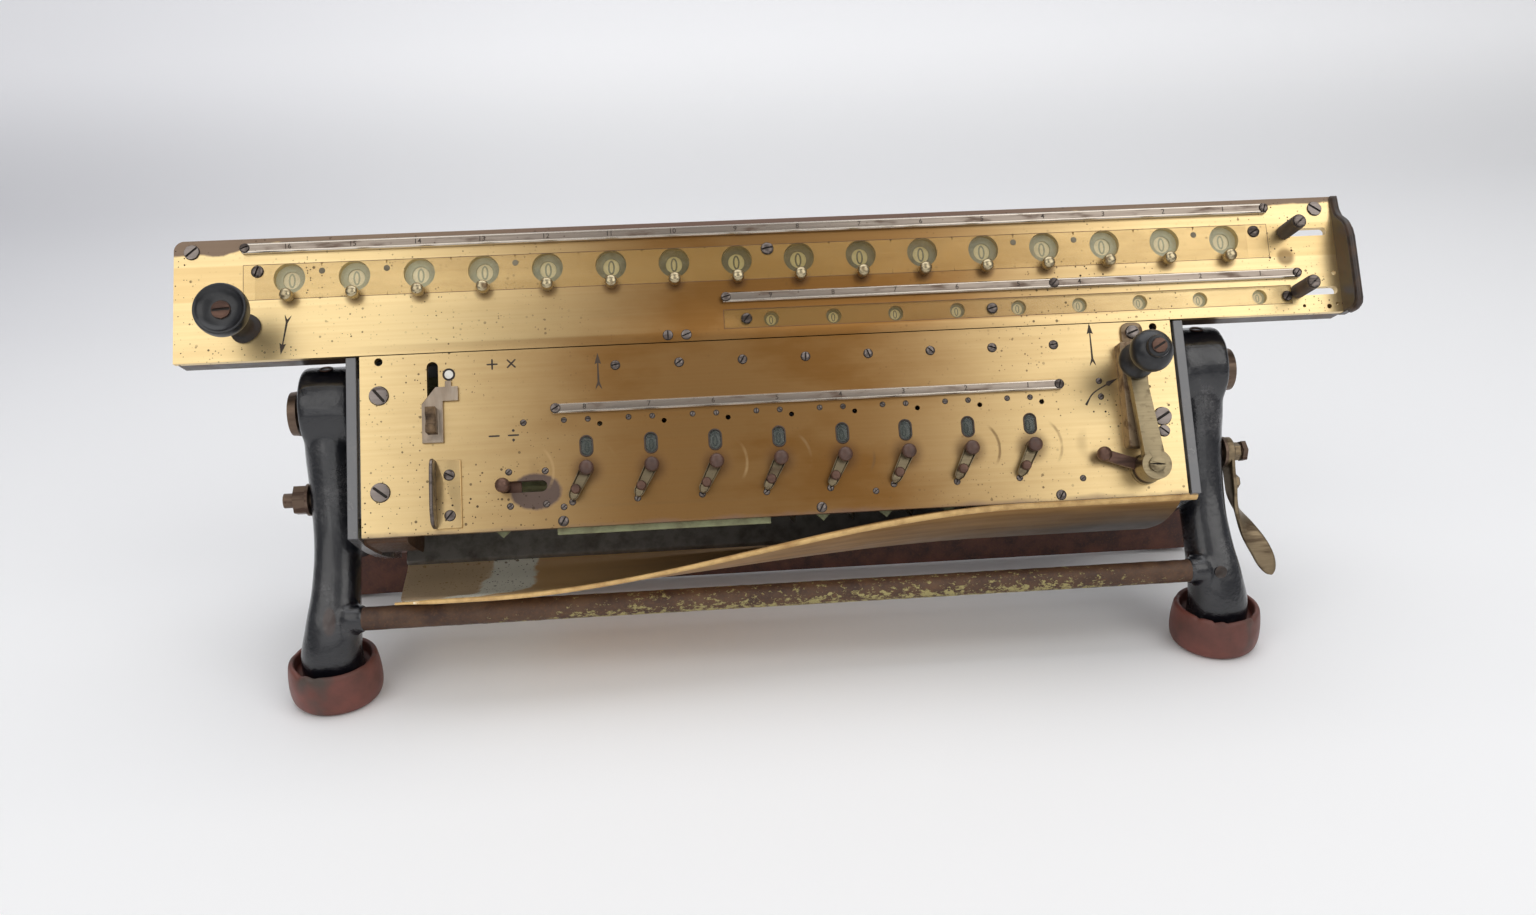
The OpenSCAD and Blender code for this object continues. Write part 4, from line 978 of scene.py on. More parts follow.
worn_lever = steel("lever plate gone brown", srgb(138, 122, 98), srgb(92, 76, 58), 0.6, 0.4)
slider_finish = two_tone("reversing slider", srgb(180, 166, 150), srgb(112, 90, 66))
softened("stop_lever", 0.3, browned, "stop")
softened("stand_fixings", 0.35, dull_steel, "stand")
softened("crank", 0.4, nickel, "crank_arm")
softened("reversing_slider", 0.2, slider_finish, "reversing")

# %% [markdown]
# ## Cast legs
# Each leg is one casting without a single flat face: a boss for the trunnion on top, a thick limb
# that runs forward into the foot, and a thinner one back to the floor. Two limbs are lofted from
# superellipse rings here. Rows give the middle of each ring, its half depth and half width.


# %% Limbs
def flowing(rows, count):
    """A smooth curve through every row, at count steps; each stretch is a cubic of its four rows."""
    rows = np.asarray(rows, float)
    p = np.vstack([2 * rows[0] - rows[1], rows, 2 * rows[-1] - rows[-2]])
    t = np.linspace(0, len(rows) - 1, count)
    k = np.minimum(t.astype(int), len(rows) - 2)
    f = (t - k)[:, None]
    a, b, c, d = p[k], p[k + 1], p[k + 2], p[k + 3]
    bend, twist = 2 * a - 5 * b + 4 * c - d, 3 * b - a - 3 * c + d
    return 0.5 * (2 * b + (c - a) * f + bend * f ** 2 + twist * f ** 3)


def limb(rows, power=2.5, count=50, around=40):
    """Tube through rows of x, y, z, half depth and half width: superellipse rings square to its path."""
    r = flowing(rows, count)
    step = np.gradient(r[:, 1:3], axis=0)
    step /= np.linalg.norm(step, axis=1, keepdims=True)
    across = np.stack([0 * step[:, 0], -step[:, 1], step[:, 0]], 1)
    ring = oval(1, 1, around, power)
    rings = (r[:, None, :3] + r[:, None, 3:4] * ring[None, :, :1] * across[:, None]
             + r[:, None, 4:5] * ring[None, :, 1:] * ALONG)
    return loft(rings)


LEG_IN, BOSS_IN, FOOT_X, FOOT_Y = 171.5, 170.0, 184.0, -44.0
BOSS_H = AXIS_H + 1.7
front_limb = limb([(181.5, 2, 112, 13, 10.5), (181.3, -5, 93, 14.0, 10.2), (180.8, -14, 74, 12.2, 9.4),
                   (180.4, -24.5, 57.5, 9.6, 9.0), (180.8, -34, 44, 8.9, 9.4), (182.2, -41.5, 31, 10.2, 10.8),
                   (184, -44, 20, 11.4, 11.8), (184, -44, 7, 11.7, 12.0)])
rear_limb = limb([(181.5, -1, 112, 12, 10.0), (181.8, 7, 90, 11.5, 9.6), (184.5, 17, 68, 8.6, 9.3),
                  (188.5, 27, 49, 7.2, 9.0), (190.5, 38.5, 30, 6.4, 9.0), (191.5, 47.0, 15, 5.4, 9.2),
                  (191.5, 48.5, 0.8, 6.6, 9.2)], power=3.2)
boss_profile = [(0, 0), (15.2, 0), (16.4, 0.5), (16.9, 1.5), (16.9, 18.6), (16.4, 20), (15.2, 20.5),
                (0, 20.5)]
boss = turned(boss_profile, (BOSS_IN, 0, BOSS_H), ALONG, 64)
rod_socket = turned([(0, 0), (5.2, 0), (5.7, 0.5), (5.7, 8), (0, 8)], (LEG_IN - 3.4, -45.4, ROD_Z + 0.4),
                    ALONG)
leg_forms = together(front_limb, rear_limb, boss, rod_socket)
print("the forms of one leg have", len(leg_forms[0]), "points")

# %% [markdown]
# ## Rear bar
# A flat bar of rusty, oxide red iron joins the two legs at the back, just above the floor. Its
# ends pass in front of the slim rear limbs.

# %% Rear bar
bar_low, bar_high = span("rear_bar")
bar_shape = along([(36.5, 2.4), (42.0, 2.4), (42.0, 23.0), (36.5, 23.0)], -199.0, 204.5, 0.8)
piece("rear_cross_bar", bar_shape, bar_rust, "stand", "oxide_bar", "rear_bar", world=on_floor)
print("rear bar: packed from", bar_low.round(1), "to", bar_high.round(1))

# %% [markdown]
# ## Fused castings
# A casting has no seams, and its inner corners are filled. So a voxel remesh makes one skin of
# limbs, boss and socket, smoothing rounds its corners, and gentle lumps give it the uneven
# surface that sand leaves. One set of forms serves both legs: the left one is its mirror image.


# %% Fused castings
def applied(made):
    """The object's mesh after its modifiers, which are then gone."""
    graph = bpy.context.evaluated_depsgraph_get()
    mesh = bpy.data.meshes.new_from_object(made.evaluated_get(graph))
    made.modifiers.clear()
    made.data = mesh
    return mesh


def ripple(points, wave, seed):
    """Gentle lumps from -1 to 1: the mean of sines of three slanted directions, wave mm long."""
    way = np.random.default_rng(seed).normal(size=(3, 3))
    way /= np.linalg.norm(way, axis=1, keepdims=True)
    return np.sin(points @ way.T * (2 * np.pi / wave) + np.arange(3)).mean(1)


LUMPS_WIDE, LUMPS_SMALL = 0.12, 0.07


def casting(name, side):
    """One fused leg: side is 1 at the right and -1 at the left."""
    shape = (leg_forms[0] * [side, 1, 1], leg_forms[1])
    made = piece(name, shape, cast_enamel, "stand", "black_enamel", "stand_castings", world=on_floor)
    remesh = made.modifiers.new("fuse", "REMESH")
    remesh.mode, remesh.voxel_size = "VOXEL", 1.0 * MM
    blend = made.modifiers.new("fillet", "SMOOTH")
    blend.factor, blend.iterations = 0.5, 14
    mesh = applied(made)
    co = np.empty(len(mesh.vertices) * 3)
    mesh.vertices.foreach_get("co", co)
    normal = np.empty_like(co)
    mesh.vertices.foreach_get("normal", normal)
    co, normal = co.reshape(-1, 3), normal.reshape(-1, 3)
    lumps = LUMPS_WIDE * ripple(co / MM, 21, 3) + LUMPS_SMALL * ripple(co / MM, 8.5, 5)
    co += normal * lumps[:, None] * MM
    co[:, 2] = np.maximum(co[:, 2], 0)
    mesh.vertices.foreach_set("co", co.ravel())
    mesh.polygons.foreach_set("use_smooth", np.ones(len(mesh.polygons), bool))
    mesh.update()
    return made


for leg_name, leg_side in (("leg_right", 1), ("leg_left", -1)):
    leg = casting(leg_name, leg_side)
    print(leg_name, "has", len(leg.data.polygons), "faces")

# %% [markdown]
# ## Holes in the legs
# A hole for grease is drilled in the top of each boss, and the right leg has one in front, at the
# rod. The limb's skin isn't flat there, so the hole is set on its foremost point.

# %% Grease holes and the drilled hole
for leg_name, leg_side in (("right", 1), ("left", -1)):
    hole = turned([(0, 0), (2.6, 0), (2.9, 0.25), (2.7, 0.5), (1.9, 0.5), (1.7, -0.6), (0, -0.6)],
                  (leg_side * 180.4, 0.2, BOSS_H + 16.6), (0, 0, 1), 24)
    piece("grease_hole_" + leg_name, hole, browned, "stand", "dull_steel", world=on_floor)
skin = np.array([v.co[:] for v in bpy.data.objects["leg_right"].data.vertices]) / MM
at = on_floor([[181.0, 0, ROD_Z + 1.4]])[0] / MM
near = skin[(np.abs(skin[:, 0] - at[0]) < 1) & (np.abs(skin[:, 2] - at[2]) < 1)]
hole_y = near[:, 1].min() - on_floor([[0, 0, 0]])[0][1] / MM
print("the drilled hole lies at y", round(hole_y, 2), "mm")
drilled = turned([(0, -0.1), (2.5, -0.1), (2.6, 0.12), (2.35, 0.22), (2.1, 0.1), (0, -0.02)],
                 (181.0, hole_y, ROD_Z + 1.4), (0, -0.95, 0.31), 28)
piece("drilled_hole_right", drilled, dark_bronze, "stand", "dull_steel", world=on_floor)

# %% [markdown]
# ## Clamp lever
# A lever at the right leg clamps the case in the stand. It is a strap forged thin: it leaves its
# hub edge on, then turns its broad side to the front, and its tip is round. A nut holds it on the
# bolt, with a smaller one below.


# %% Clamp lever
def paddle(rows, tip=0.16, count=60, around=24):
    """Strap through rows of x, y, z, half width and half thickness; its tip is the root of 1 - t^2."""
    r = flowing(rows, count)
    way = np.gradient(r[:, :3], axis=0)
    way /= np.linalg.norm(way, axis=1, keepdims=True)
    t = np.linspace(0, 1, count)[:, None]
    turn = np.clip((t - 0.3) / 0.45, 0, 1)
    edge_on, broad = np.array([0, 0.86, -0.5]), np.array([0.88, 0.1, 0.44])
    wide = edge_on * (1 - turn) + broad * turn
    wide -= (wide * way).sum(1, keepdims=True) * way
    wide /= np.linalg.norm(wide, axis=1, keepdims=True)
    thick = np.cross(way, wide)
    end = np.sqrt(np.clip(1 - (np.clip((t - 1 + tip) / tip, 0, 0.995)) ** 2, 0, 1))
    ring = oval(1, 1, around, 3.5)
    return loft(r[:, None, :3] + (r[:, 3:4] * end)[:, None] * ring[None, :, :1] * wide[:, None]
                + (r[:, 4:5] * (0.5 + 0.5 * end))[:, None] * ring[None, :, 1:] * thick[:, None])


def as_placed(points):
    """Rows of (x, y, z) in mm that are world places already."""
    return np.asarray(points) * MM


HUB_Y, HUB_Z = -13.6, 75.0
lever = paddle([(191.2, HUB_Y, HUB_Z, 5.6, 1.2), (191.3, -18.5, 65, 5.0, 1.2), (192.2, -24, 55, 4.4, 1.2),
                (196.5, -29.5, 46, 4.2, 1.15), (201.5, -34.5, 37.5, 4.3, 1.1),
                (205.2, -39.5, 28.5, 3.9, 1.1)])
hub = turned([(0, 0), (6.1, 0), (6.3, 0.5), (6.3, 2.4), (5.8, 2.9), (0, 2.9)],
             (189.2, HUB_Y, HUB_Z), ALONG, 40)
nut = turned([(0, 0), (3.9, 0), (3.9, 3.6), (3.3, 4.3), (0, 4.3)], (191.9, HUB_Y, HUB_Z), ALONG, 6)
small_nut = turned([(0, 0), (3.2, 0), (3.2, 1.8), (2.6, 2.4), (0, 2.4)], (192.2, -19.5, 63.5), ALONG, 6)
clamp_shape = together(lever, hub, nut, small_nut)
piece("clamp_paddle", clamp_shape, worn_lever, "clamp", "nickel", "clamp_lever", world=as_placed)

# %% [markdown]
# ## Rubber feet
# The feet are moulded cups that the legs stand in. The wall swells below the rim and draws in at
# the floor. The rim is chipped after a century, so its radius is nibbled by a few random bites.


# %% Feet
def foot(side, seed):
    """Cup of a smooth profile; a bite exp(-(angle away / width)^2) lowers and draws in its rim."""
    profile = flowing([(0, 0), (14.0, 0), (16.6, 0.25), (18.2, 1.9), (18.95, 4.6), (19.15, 8), (18.95, 12),
                       (18.45, 15.6), (18.0, 17.3), (17.2, 17.95), (16.3, 17.9), (15.8, 17.2), (15.55, 15),
                       (15.2, 13.2), (13.2, 12.6), (11.5, 12.5), (0, 12.5)], 64)
    profile[:, 0] = np.maximum(profile[:, 0], 0) * 0.96
    profile[0], profile[-1] = (0, 0), (0, 12.5)
    points, groups = turned(profile, segments=128)
    rng = np.random.default_rng(seed)
    angle = np.arctan2(points[:, 1], points[:, 0])
    radius = np.hypot(points[:, 0], points[:, 1])
    for centre, width, depth in zip(rng.uniform(-np.pi, np.pi, 9), rng.uniform(0.03, 0.12, 9),
                                    rng.uniform(0.2, 0.7, 9)):
        away = np.abs((angle - centre + np.pi) % (2 * np.pi) - np.pi)
        bite = np.exp(-(away / width) ** 2) * np.clip((points[:, 2] - 15.5) / 2.4, 0, 1) * depth
        points[:, 2] -= bite * (radius > 14)
        points[:, :2] *= (1 - 0.3 * bite / np.maximum(radius, 1) * (radius > 16.5))[:, None]
    swell = 1 + 0.004 * np.sin(3 * angle + seed) * (radius > 14)
    points[:, :2] *= swell[:, None]
    points[:, 2] = np.maximum(points[:, 2], 0)
    return points + [side * FOOT_X, FOOT_Y, 0], groups


for leg_name, leg_side in (("right", 1), ("left", -1)):
    piece("foot_" + leg_name, foot(leg_side, 11 + leg_side), foot_rubber, "stand", "red_rubber",
          "rubber_feet", world=on_floor, smooth=60)

# %% [markdown]
# ## Front rod
# The rod is plain round bar under rust scale, which lifts its surface by tenths of a millimetre.


# %% Rusted rod
def scaly_rod(length, radius, rows=420, around=44):
    """Cylinder along x whose radius wanders by two sizes of lumps, for rust scale."""
    x = np.linspace(-length / 2, length / 2, rows)[:, None]
    a = np.linspace(0, 2 * np.pi, around, endpoint=False)[None]
    flat = np.stack([x + 0 * a, radius * np.cos(a) + 0 * x, radius * np.sin(a) + 0 * x], -1)
    lumps = 0.07 * ripple(flat.reshape(-1, 3), 9, 21) + 0.05 * ripple(flat.reshape(-1, 3), 3.1, 22)
    r = radius - 0.1 + lumps.reshape(rows, around)
    return loft(np.stack([x + 0 * a, ROD_Y + r * np.cos(a), ROD_Z + 0.6 + r * np.sin(a)], -1))


piece("rod_with_scale", scaly_rod(338, 4.8), rod_rust, "stand", "rusty_rod", "front_rod", world=on_floor)

# %% [markdown]
# ## The sheet under the case
# A thin brass sheet closes the case from below. It is still held at the right, and its left end
# has sprung down. Its cross section is a curve through seven points, blended from the closed
# shape to the open one by how far left it is. Its front corner at the left is cut away.

# %% Sprung sheet
SHUT = [(-104, -77), (-108.6, -74), (-112.6, -58), (-113.6, -42), (-112.6, -26), (-108.9, -11),
        (-105.0, -3.6)]
OPEN = [(-104, -77), (-111.5, -73), (-121.8, -56), (-126.0, -42), (-127.6, -27), (-129.4, -14),
        (-130.4, -6)]
SHEET_HALF, SHEET_T, CORNER_CUT = 162.2, 0.8, 16.5


def sheet_rows(u, count):
    """Cross sections (v, w) at each u: closed curve and open curve mixed by f = 1 - ease((u+120)/215)."""
    t = np.clip((np.asarray(u) + 120) / 215, 0, 1)
    f = (1 - t * t * (3 - 2 * t))[:, None, None]
    return flowing(SHUT, count)[None] * (1 - f) + flowing(OPEN, count)[None] * f


sheet_u = np.linspace(-SHEET_HALF, SHEET_HALF, 150)
outside = sheet_rows(sheet_u, 50)
slope = np.gradient(outside, axis=1)
slope /= np.linalg.norm(slope, axis=2, keepdims=True)
inside = outside - SHEET_T * np.stack([slope[..., 1], -slope[..., 0]], -1)
sheet_ring = np.concatenate([outside, inside[:, ::-1]], 1)
front = np.linspace(0, 1, 50) ** 2
cut = CORNER_CUT * np.concatenate([front, front[::-1]]) * np.clip((-80 - sheet_u) / 82, 0, 1)[:, None]
sheet_points = np.concatenate([(sheet_u[:, None] + cut)[..., None], sheet_ring], 2)
piece("sprung_sheet", loft(sheet_points), belly_brass, "case", "sheet_brass", "belly_cover", smooth=50)

# %% [markdown]
# ## Folded edge and inner wall
# The sheet's front edge is folded over for stiffness, and the fold is rubbed bare. It is a flat
# oval that follows the edge and grows from left to right. Behind it a narrow grey wall closes the
# case, as far as the open end lets one see.

# %% Folded edge and inner wall
hem_middle = (outside[:, -1] + inside[:, -1]) / 2
hem_ring = oval(1.5, 0.75, 16)
hem_way = slope[:, -1]
hem_out = np.stack([hem_way[:, 1], -hem_way[:, 0]], 1)
hem_points = (hem_middle[:, None] - hem_way[:, None] * (hem_ring[None, :, :1] + 1.3)
              + hem_out[:, None] * hem_ring[None, :, 1:])
taper = np.clip((sheet_u + 160) / 16, 0.7, 1.3)[:, None, None]
hem_centre = hem_points.mean(1, keepdims=True)
hem_points = hem_centre + (hem_points - hem_centre) * taper
hem_u = np.maximum(sheet_u, -153)[:, None, None] + 0.02 * (sheet_u + SHEET_HALF)[:, None, None]
hem_points = np.concatenate([np.broadcast_to(hem_u, hem_points.shape[:2] + (1,)), hem_points], 2)
piece("sheet_hem", loft(hem_points), bare_hem, "case", "sheet_brass")
wall_profile = rounded([(-92, -77.2), (-92, -74.5), (-109, -69.5), (-110.5, -72.0)], 0.6)
inner_wall = along(wall_profile, -161.5, 161.5, 0.4)
piece("inner_wall", inner_wall, inside_grey, "case", "dark_bronze")

# %% [markdown]
# ## Scale bars
# Three nickel bars with chamfered edges carry the place numbers. Each is drawn along u from one
# profile: one over the result windows, one over the counter and one over the setting cranks.


# %% Scale bars
BAR_PROFILE = rounded([(-1.95, 0), (1.95, 0), (1.95, 1.7), (1.55, 2.2), (-1.55, 2.2), (-1.95, 1.7)], 0.15, 3)


def bar(start, end, v):
    """Scale bar from start to end along u, at height v on the face."""
    return along(BAR_PROFILE + [v, 0], start, end, 0.3)


ROW_LEFT, ROW_RIGHT, COUNT_RIGHT = dial_u(0), dial_u(15), 8 * PITCH
RESULT_BAR_V, COUNT_BAR_V, SETTING_BAR_V, BAR_TOP = 12.4, -15.9, -58.1, 2.2
CRANK_U, CRANK_V, REVERSE_U, CLEAR_U = 146.8, -94.5, -135.4, drum_u(0) - 32.2
piece("scale_bar_result", bar(ROW_LEFT - 18.1, ROW_RIGHT + 18.9, RESULT_BAR_V), bar_nickel, "carriage",
      "nickel", "carriage_fittings")
piece("scale_bar_counter", bar(-19.4, COUNT_RIGHT + 17.2, COUNT_BAR_V), bar_nickel, "carriage", "nickel")
piece("scale_bar_setting", bar(drum_u(0) - 12.6, drum_u(7) + 14.2, SETTING_BAR_V), bar_nickel, "case",
      "nickel", "face_fittings")

# %% [markdown]
# ## Polished chamfers
# Fingers and sleeves keep the slanted edges of the bars bright while their tops go dull. A thin
# polished skin lies on both slants of each bar, a few hundredths of a millimetre proud.


# %% Polished chamfers
polished = steel("polished chamfer", srgb(206, 198, 186), srgb(150, 136, 120), 0.3, 0.24, stretch=0.2)
EDGE_PROFILE = np.array([(-1.99, 0.6), (-1.9, 0.6), (-1.9, 1.6), (-1.45, 2.15), (-1.25, 2.19), (-1.25, 2.24),
                         (-1.58, 2.245), (-1.99, 1.72)])


def edge(start, end, v):
    """Polished chamfers along both sides of a bar."""
    return together(along(EDGE_PROFILE + [v, 0], start, end, 0.02),
                    along(EDGE_PROFILE[::-1] * [-1, 1] + [v, 0], start, end, 0.02))


piece("carriage_bar_edges", together(edge(ROW_LEFT - 17.8, ROW_RIGHT + 18.6, RESULT_BAR_V),
                                     edge(-19.1, COUNT_RIGHT + 16.9, COUNT_BAR_V)),
      polished, "carriage", "nickel")
piece("setting_bar_edge", edge(drum_u(0) - 12.3, drum_u(7) + 13.9, SETTING_BAR_V), polished, "case",
      "nickel")

# %% [markdown]
# ## Screws of the face
# Large blued heads hold the plates, small darkened ones the fittings. Each row says where a head
# sits, how wide, high and domed it is, and how far its slot is turned, since no two slots stop
# alike. All the screws of one finish on one body make a single piece.

# %% Screws of the face
blue_steel = steel("blued screw steel", srgb(136, 127, 122), srgb(80, 68, 62), 0.4, 0.34)
dark_screw = steel("darkened screw steel", srgb(116, 107, 102), srgb(56, 47, 42), 0.5, 0.3)
big_heads = [(-156.3, -49.4, 0, 3.7, 1.1, 0.15, -50), (-156.3, -87.8, 0, 3.7, 1.1, 0.15, -38),
             (156.3, -73.1, 0, 3.6, 1.1, 0.15, 30), (156.3, -79.1, 0, 2.3, 1.0, 0.2, -40),
             (CRANK_U + 0.2, -38, 1.4, 2.7, 1.5, 0.3, 20)]
fasten("face_plate_screws", big_heads, blue_steel, "case")
small_heads = [(drum_u(i) + 12.7, -41.4, 0, 1.75, 1.1, 0.45, 25 * i + 10) for i in range(8)]
small_heads += [(drum_u(i) - 8.4, -62.6, 0, 0.95, 0.6, 0.4, 30 * i) for i in range(8)]
small_heads += [(drum_u(i) + 1.0, -62.6, 0, 0.95, 0.6, 0.4, 50 * i) for i in range(8)]
small_heads += [(u, v, 0, 1.9, 1.0, 0.45, 60) for u, v in ((-86.2, -102.7), (15.2, -102.7), (111.6, -103))]
small_heads += [(CLEAR_U + u, v, 0, 1.15, 0.7, 0.4, 35) for u, v in
                ((1.6, -82.3), (15.8, -82.5), (1.9, -95.8), (15.9, -95.6))]
small_heads += [(u, v, 0, 1.1, 0.6, 0.4, 35) for u, v in
                ((-85.8, -97.1), (37.2, -97.4), (121.1, -96.7), (131.6, -57.3), (131.8, -63.8),
                 (-100.5, -62.9))]
small_heads += [(drum_u(i) - 6.2, -95.4 + 0.2 * (i % 3), 0, 1.15, 0.7, 0.4, 70 * i) for i in range(8)]
fasten("face_small_screws", small_heads, dark_screw, "case")

# %% [markdown]
# ## Screws of the carriage and of the bars
# The carriage carries plate screws at its ends, screws on the clear strips and small ones at the
# ends of its two bars. Six small grey plugs lie between the result windows.

# %% Screws of the carriage and of the bars
car_heads = [(-228.3, 12.1, 0, 2.9, 0.9, 0.15, 40), (230.8, 11.8, 0, 2.9, 0.9, 0.15, -35)]
car_heads += [(-42, -30.1, 0, 1.9, 0.6, 0.2, 90), (-34.6, -30.2, 0, 1.9, 0.6, 0.2, 20)]
fasten("carriage_plate_screws", car_heads, blue_steel, "carriage")
strip_heads = [(ROW_LEFT - 12.4, 3.2, 0, 2.3, 1.3, 0.4, 70), (0, 4.2, 0, 2.4, 1.3, 0.4, 10),
               (ROW_RIGHT + 13, 3, 0, 2.3, 1.3, 0.4, 30), (-10, -24.6, 0, 2.0, 1.2, 0.4, 50),
               (3.5 * PITCH + 1.6, -24.9, 0, 2.0, 1.2, 0.4, 15),
               (COUNT_RIGHT + 11.4, -25.2, 0, 1.9, 1.1, 0.4, 55)]
fasten("strip_screws", strip_heads, dark_screw, "carriage")
car_bar_heads = [(ROW_LEFT - 16.7, RESULT_BAR_V, BAR_TOP, 1.75, 0.9, 0.3, 20),
                 (ROW_RIGHT + 17.5, RESULT_BAR_V, BAR_TOP, 1.75, 0.9, 0.3, 70),
                 (-18, COUNT_BAR_V, BAR_TOP, 1.75, 0.9, 0.3, 15),
                 (COUNT_RIGHT + 15.8, COUNT_BAR_V, BAR_TOP, 1.75, 0.9, 0.3, 50),
                 (116.4, COUNT_BAR_V, BAR_TOP, 1.9, 0.8, 0.3, 45)]
fasten("carriage_bar_screws", car_bar_heads, dark_screw, "carriage")
case_bar_heads = [(drum_u(0) - 11.4, SETTING_BAR_V, BAR_TOP, 1.8, 0.9, 0.3, 30),
                  (drum_u(7) + 12.9, SETTING_BAR_V, BAR_TOP, 1.8, 0.9, 0.3, 75)]
fasten("setting_bar_screws", case_bar_heads, dark_screw, "case")
plug_places = [(dial_u(j) + 12.7, 2.6) for j in (0, 1, 3, 11, 12, 14)]
plug_grey = painted("grey plug heads", srgb(120, 110, 88), srgb(92, 82, 62), 0.5)
plugs = together(*(put(turned([(0, 0), (1.3, 0), (1.2, 0.25), (0, 0.35)], segments=16), (u, v, -0.1))
                   for u, v in plug_places))
piece("strip_plugs", plugs, plug_grey, "carriage", "dull_steel")

# %% [markdown]
# ## Figures
# The figures are Blender's own plain ones, made a mesh once and then placed by numpy. They are
# thin solids sunk in the surface, so they have a closed skin and never flicker.


# %% Plain figures
def glyph(character):
    """One character as a shape: a font curve with a little depth, scaled to a height of 1."""
    curve = bpy.data.curves.new("glyph", "FONT")
    curve.body, curve.resolution_u, curve.extrude, curve.offset = character, 3, 0.02, 0.012
    holder = bpy.data.objects.new("glyph", curve)
    bpy.context.scene.collection.objects.link(holder)
    mesh = bpy.data.meshes.new_from_object(holder.evaluated_get(bpy.context.evaluated_depsgraph_get()))
    mesh.calc_loop_triangles()
    co, tri = np.empty(len(mesh.vertices) * 3), np.empty(len(mesh.loop_triangles) * 3, int)
    mesh.vertices.foreach_get("co", co)
    mesh.loop_triangles.foreach_get("vertices", tri)
    bpy.data.objects.remove(holder)
    bpy.data.curves.remove(curve)
    co = co.reshape(-1, 3)
    low, high = co.min(0), co.max(0)
    return (co - (low + high) / 2) / (high[1] - low[1]), [tri.reshape(-1, 3)]


FIGURES = {str(n): glyph(str(n)) for n in range(10)}


def figure(text, height, place, turn=0.0, depth=0.1):
    """A number as one shape: its figures side by side, 0.72 of their height apart."""
    shift = (np.arange(len(text)) - (len(text) - 1) / 2) * 0.72
    parts = []
    for character, x in zip(text, shift):
        points, groups = FIGURES[character]
        flat = points * [height, height, 0] + [x * height, 0, 0]
        parts.append((flat + np.sign(points[:, 2:3]) * [0, 0, depth / 2], groups))
    return put(together(*parts), place, turn)


engraving = painted("black filled engraving", srgb(44, 34, 26), srgb(74, 56, 38), 0.6)
TALL, SUNK = 2.1, 2.18
bar_numbers = [figure(str(16 - j), TALL, (dial_u(j), 12.6, SUNK)) for j in range(16)]
bar_numbers += [figure(str(9 - k), TALL, (k * PITCH, -15.7, SUNK)) for k in range(9)]
setting_numbers = [figure(str(8 - i), TALL, (drum_u(i), -57.9, SUNK)) for i in range(8)]
piece("carriage_bar_numbers", together(*bar_numbers), engraving, "carriage", "dull_steel")
piece("setting_bar_numbers", together(*setting_numbers), engraving, "case", "dull_steel")

# %% [markdown]
# ## The nought of the windows
# At rest every window shows a nought. It has thick sides round a dark oval with a light sliver in
# it, which no plain letter has, so it is made here from a hoop and a slab. The other nine figures
# of a dial stand round the disc and come up when it turns.


# %% The nought of the windows
def nought(size):
    """Nought of one unit: oval 6.3 wide with thick sides, and a light sliver in its dark middle."""
    ring = hoop((3.15 * size, 3.35 * size), (1.35 * size, 2.85 * size), -0.05, 0.05)
    sliver = slab(oval(0.65 * size, 2.1 * size, 20), -0.05, 0.05, 0.02)
    return together(ring, sliver)


def dial_figures(radius, step, height, top):
    """The ten figures of one dial: figure k stands at 90 - k*step degrees, its head to the rim."""
    shapes = []
    for k in range(10):
        angle = 90.0 - k * step
        place = (radius * math.cos(math.radians(angle)), radius * math.sin(math.radians(angle)), top)
        shapes.append(put(nought(height / 6.3), place, angle - 90) if k == 0 else
                      figure(str(k), height * 0.9, place, angle - 90))
    return together(*shapes)


print("a nought has", len(nought(1)[0]), "points")

# %% [markdown]
# ## Result dials
# Under each window turns a disc with ten figures. Its spindle comes up through the plate and
# ends in a small nickel knob with a rounded head, by which a number is set by hand.


# %% Sixteen dials
def spokes(radius, core, count, low, high, width=1.6):
    """Star wheel: a core with count square teeth out to radius."""
    t = np.arange(count) * 2 * np.pi / count
    tooth = np.array([-0.5, -0.5, 0.5, 0.5]) * width
    reach = np.array([core, radius, radius, core])
    x = reach * np.cos(t)[:, None] - tooth * np.sin(t)[:, None]
    y = reach * np.sin(t)[:, None] + tooth * np.cos(t)[:, None]
    return slab(np.stack([x, y], -1).reshape(-1, 2), low, high, 0.15)


twirl_nickel = steel("handled nickel of the dial knobs", srgb(184, 170, 138), srgb(120, 98, 70), 0.5, 0.26,
                     stretch=1.0)
twirl_profile = [(0, 0.3), (2.0, 0.3), (2.0, 1.5), (2.35, 1.8), (2.5, 2.3), (2.5, 5.0), (2.42, 5.5),
                 (2.15, 6.05), (1.6, 6.5), (0.8, 6.75), (0, 6.8)]
spindle = turned([(0, -25), (1.5, -25), (1.5, 0.5), (0, 0.5)], segments=24)
twirl = together(turned(twirl_profile, segments=36), spindle)
wheels = together(turned([(0, -12), (4.4, -12), (4.4, -10), (0, -10)], segments=32),
                  spokes(7.4, 4.6, 10, -25, -22))
disc = turned([(0, -4.8), (12.0, -4.8), (12.2, -4.6), (12.2, -4.0), (12.0, -3.8), (0, -3.8)], segments=72)
result_figures = dial_figures(8.0, 36, 6.6, -3.75)
for j in range(16):
    body, at = f"dial_body_{j + 1}", (dial_u(j), -8.0, 0)
    piece(f"dial_disc_{j + 1}", put(disc, at), window_green, body, "dial_paint", f"dial_{j + 1}")
    piece(f"dial_knob_{j + 1}", put(together(twirl, wheels), at), twirl_nickel, body, "nickel",
          f"dial_{j + 1}")
    piece(f"dial_figures_{j + 1}", put(result_figures, at), figure_cream, body, "dial_paint", smooth=20)

COUNT_V = -24.95
counter_noughts = together(*(put(nought(0.62), (k * PITCH, COUNT_V, -3.14)) for k in range(9)))
piece("counter_figures", counter_noughts, figure_cream, "carriage", "dial_paint", smooth=20)

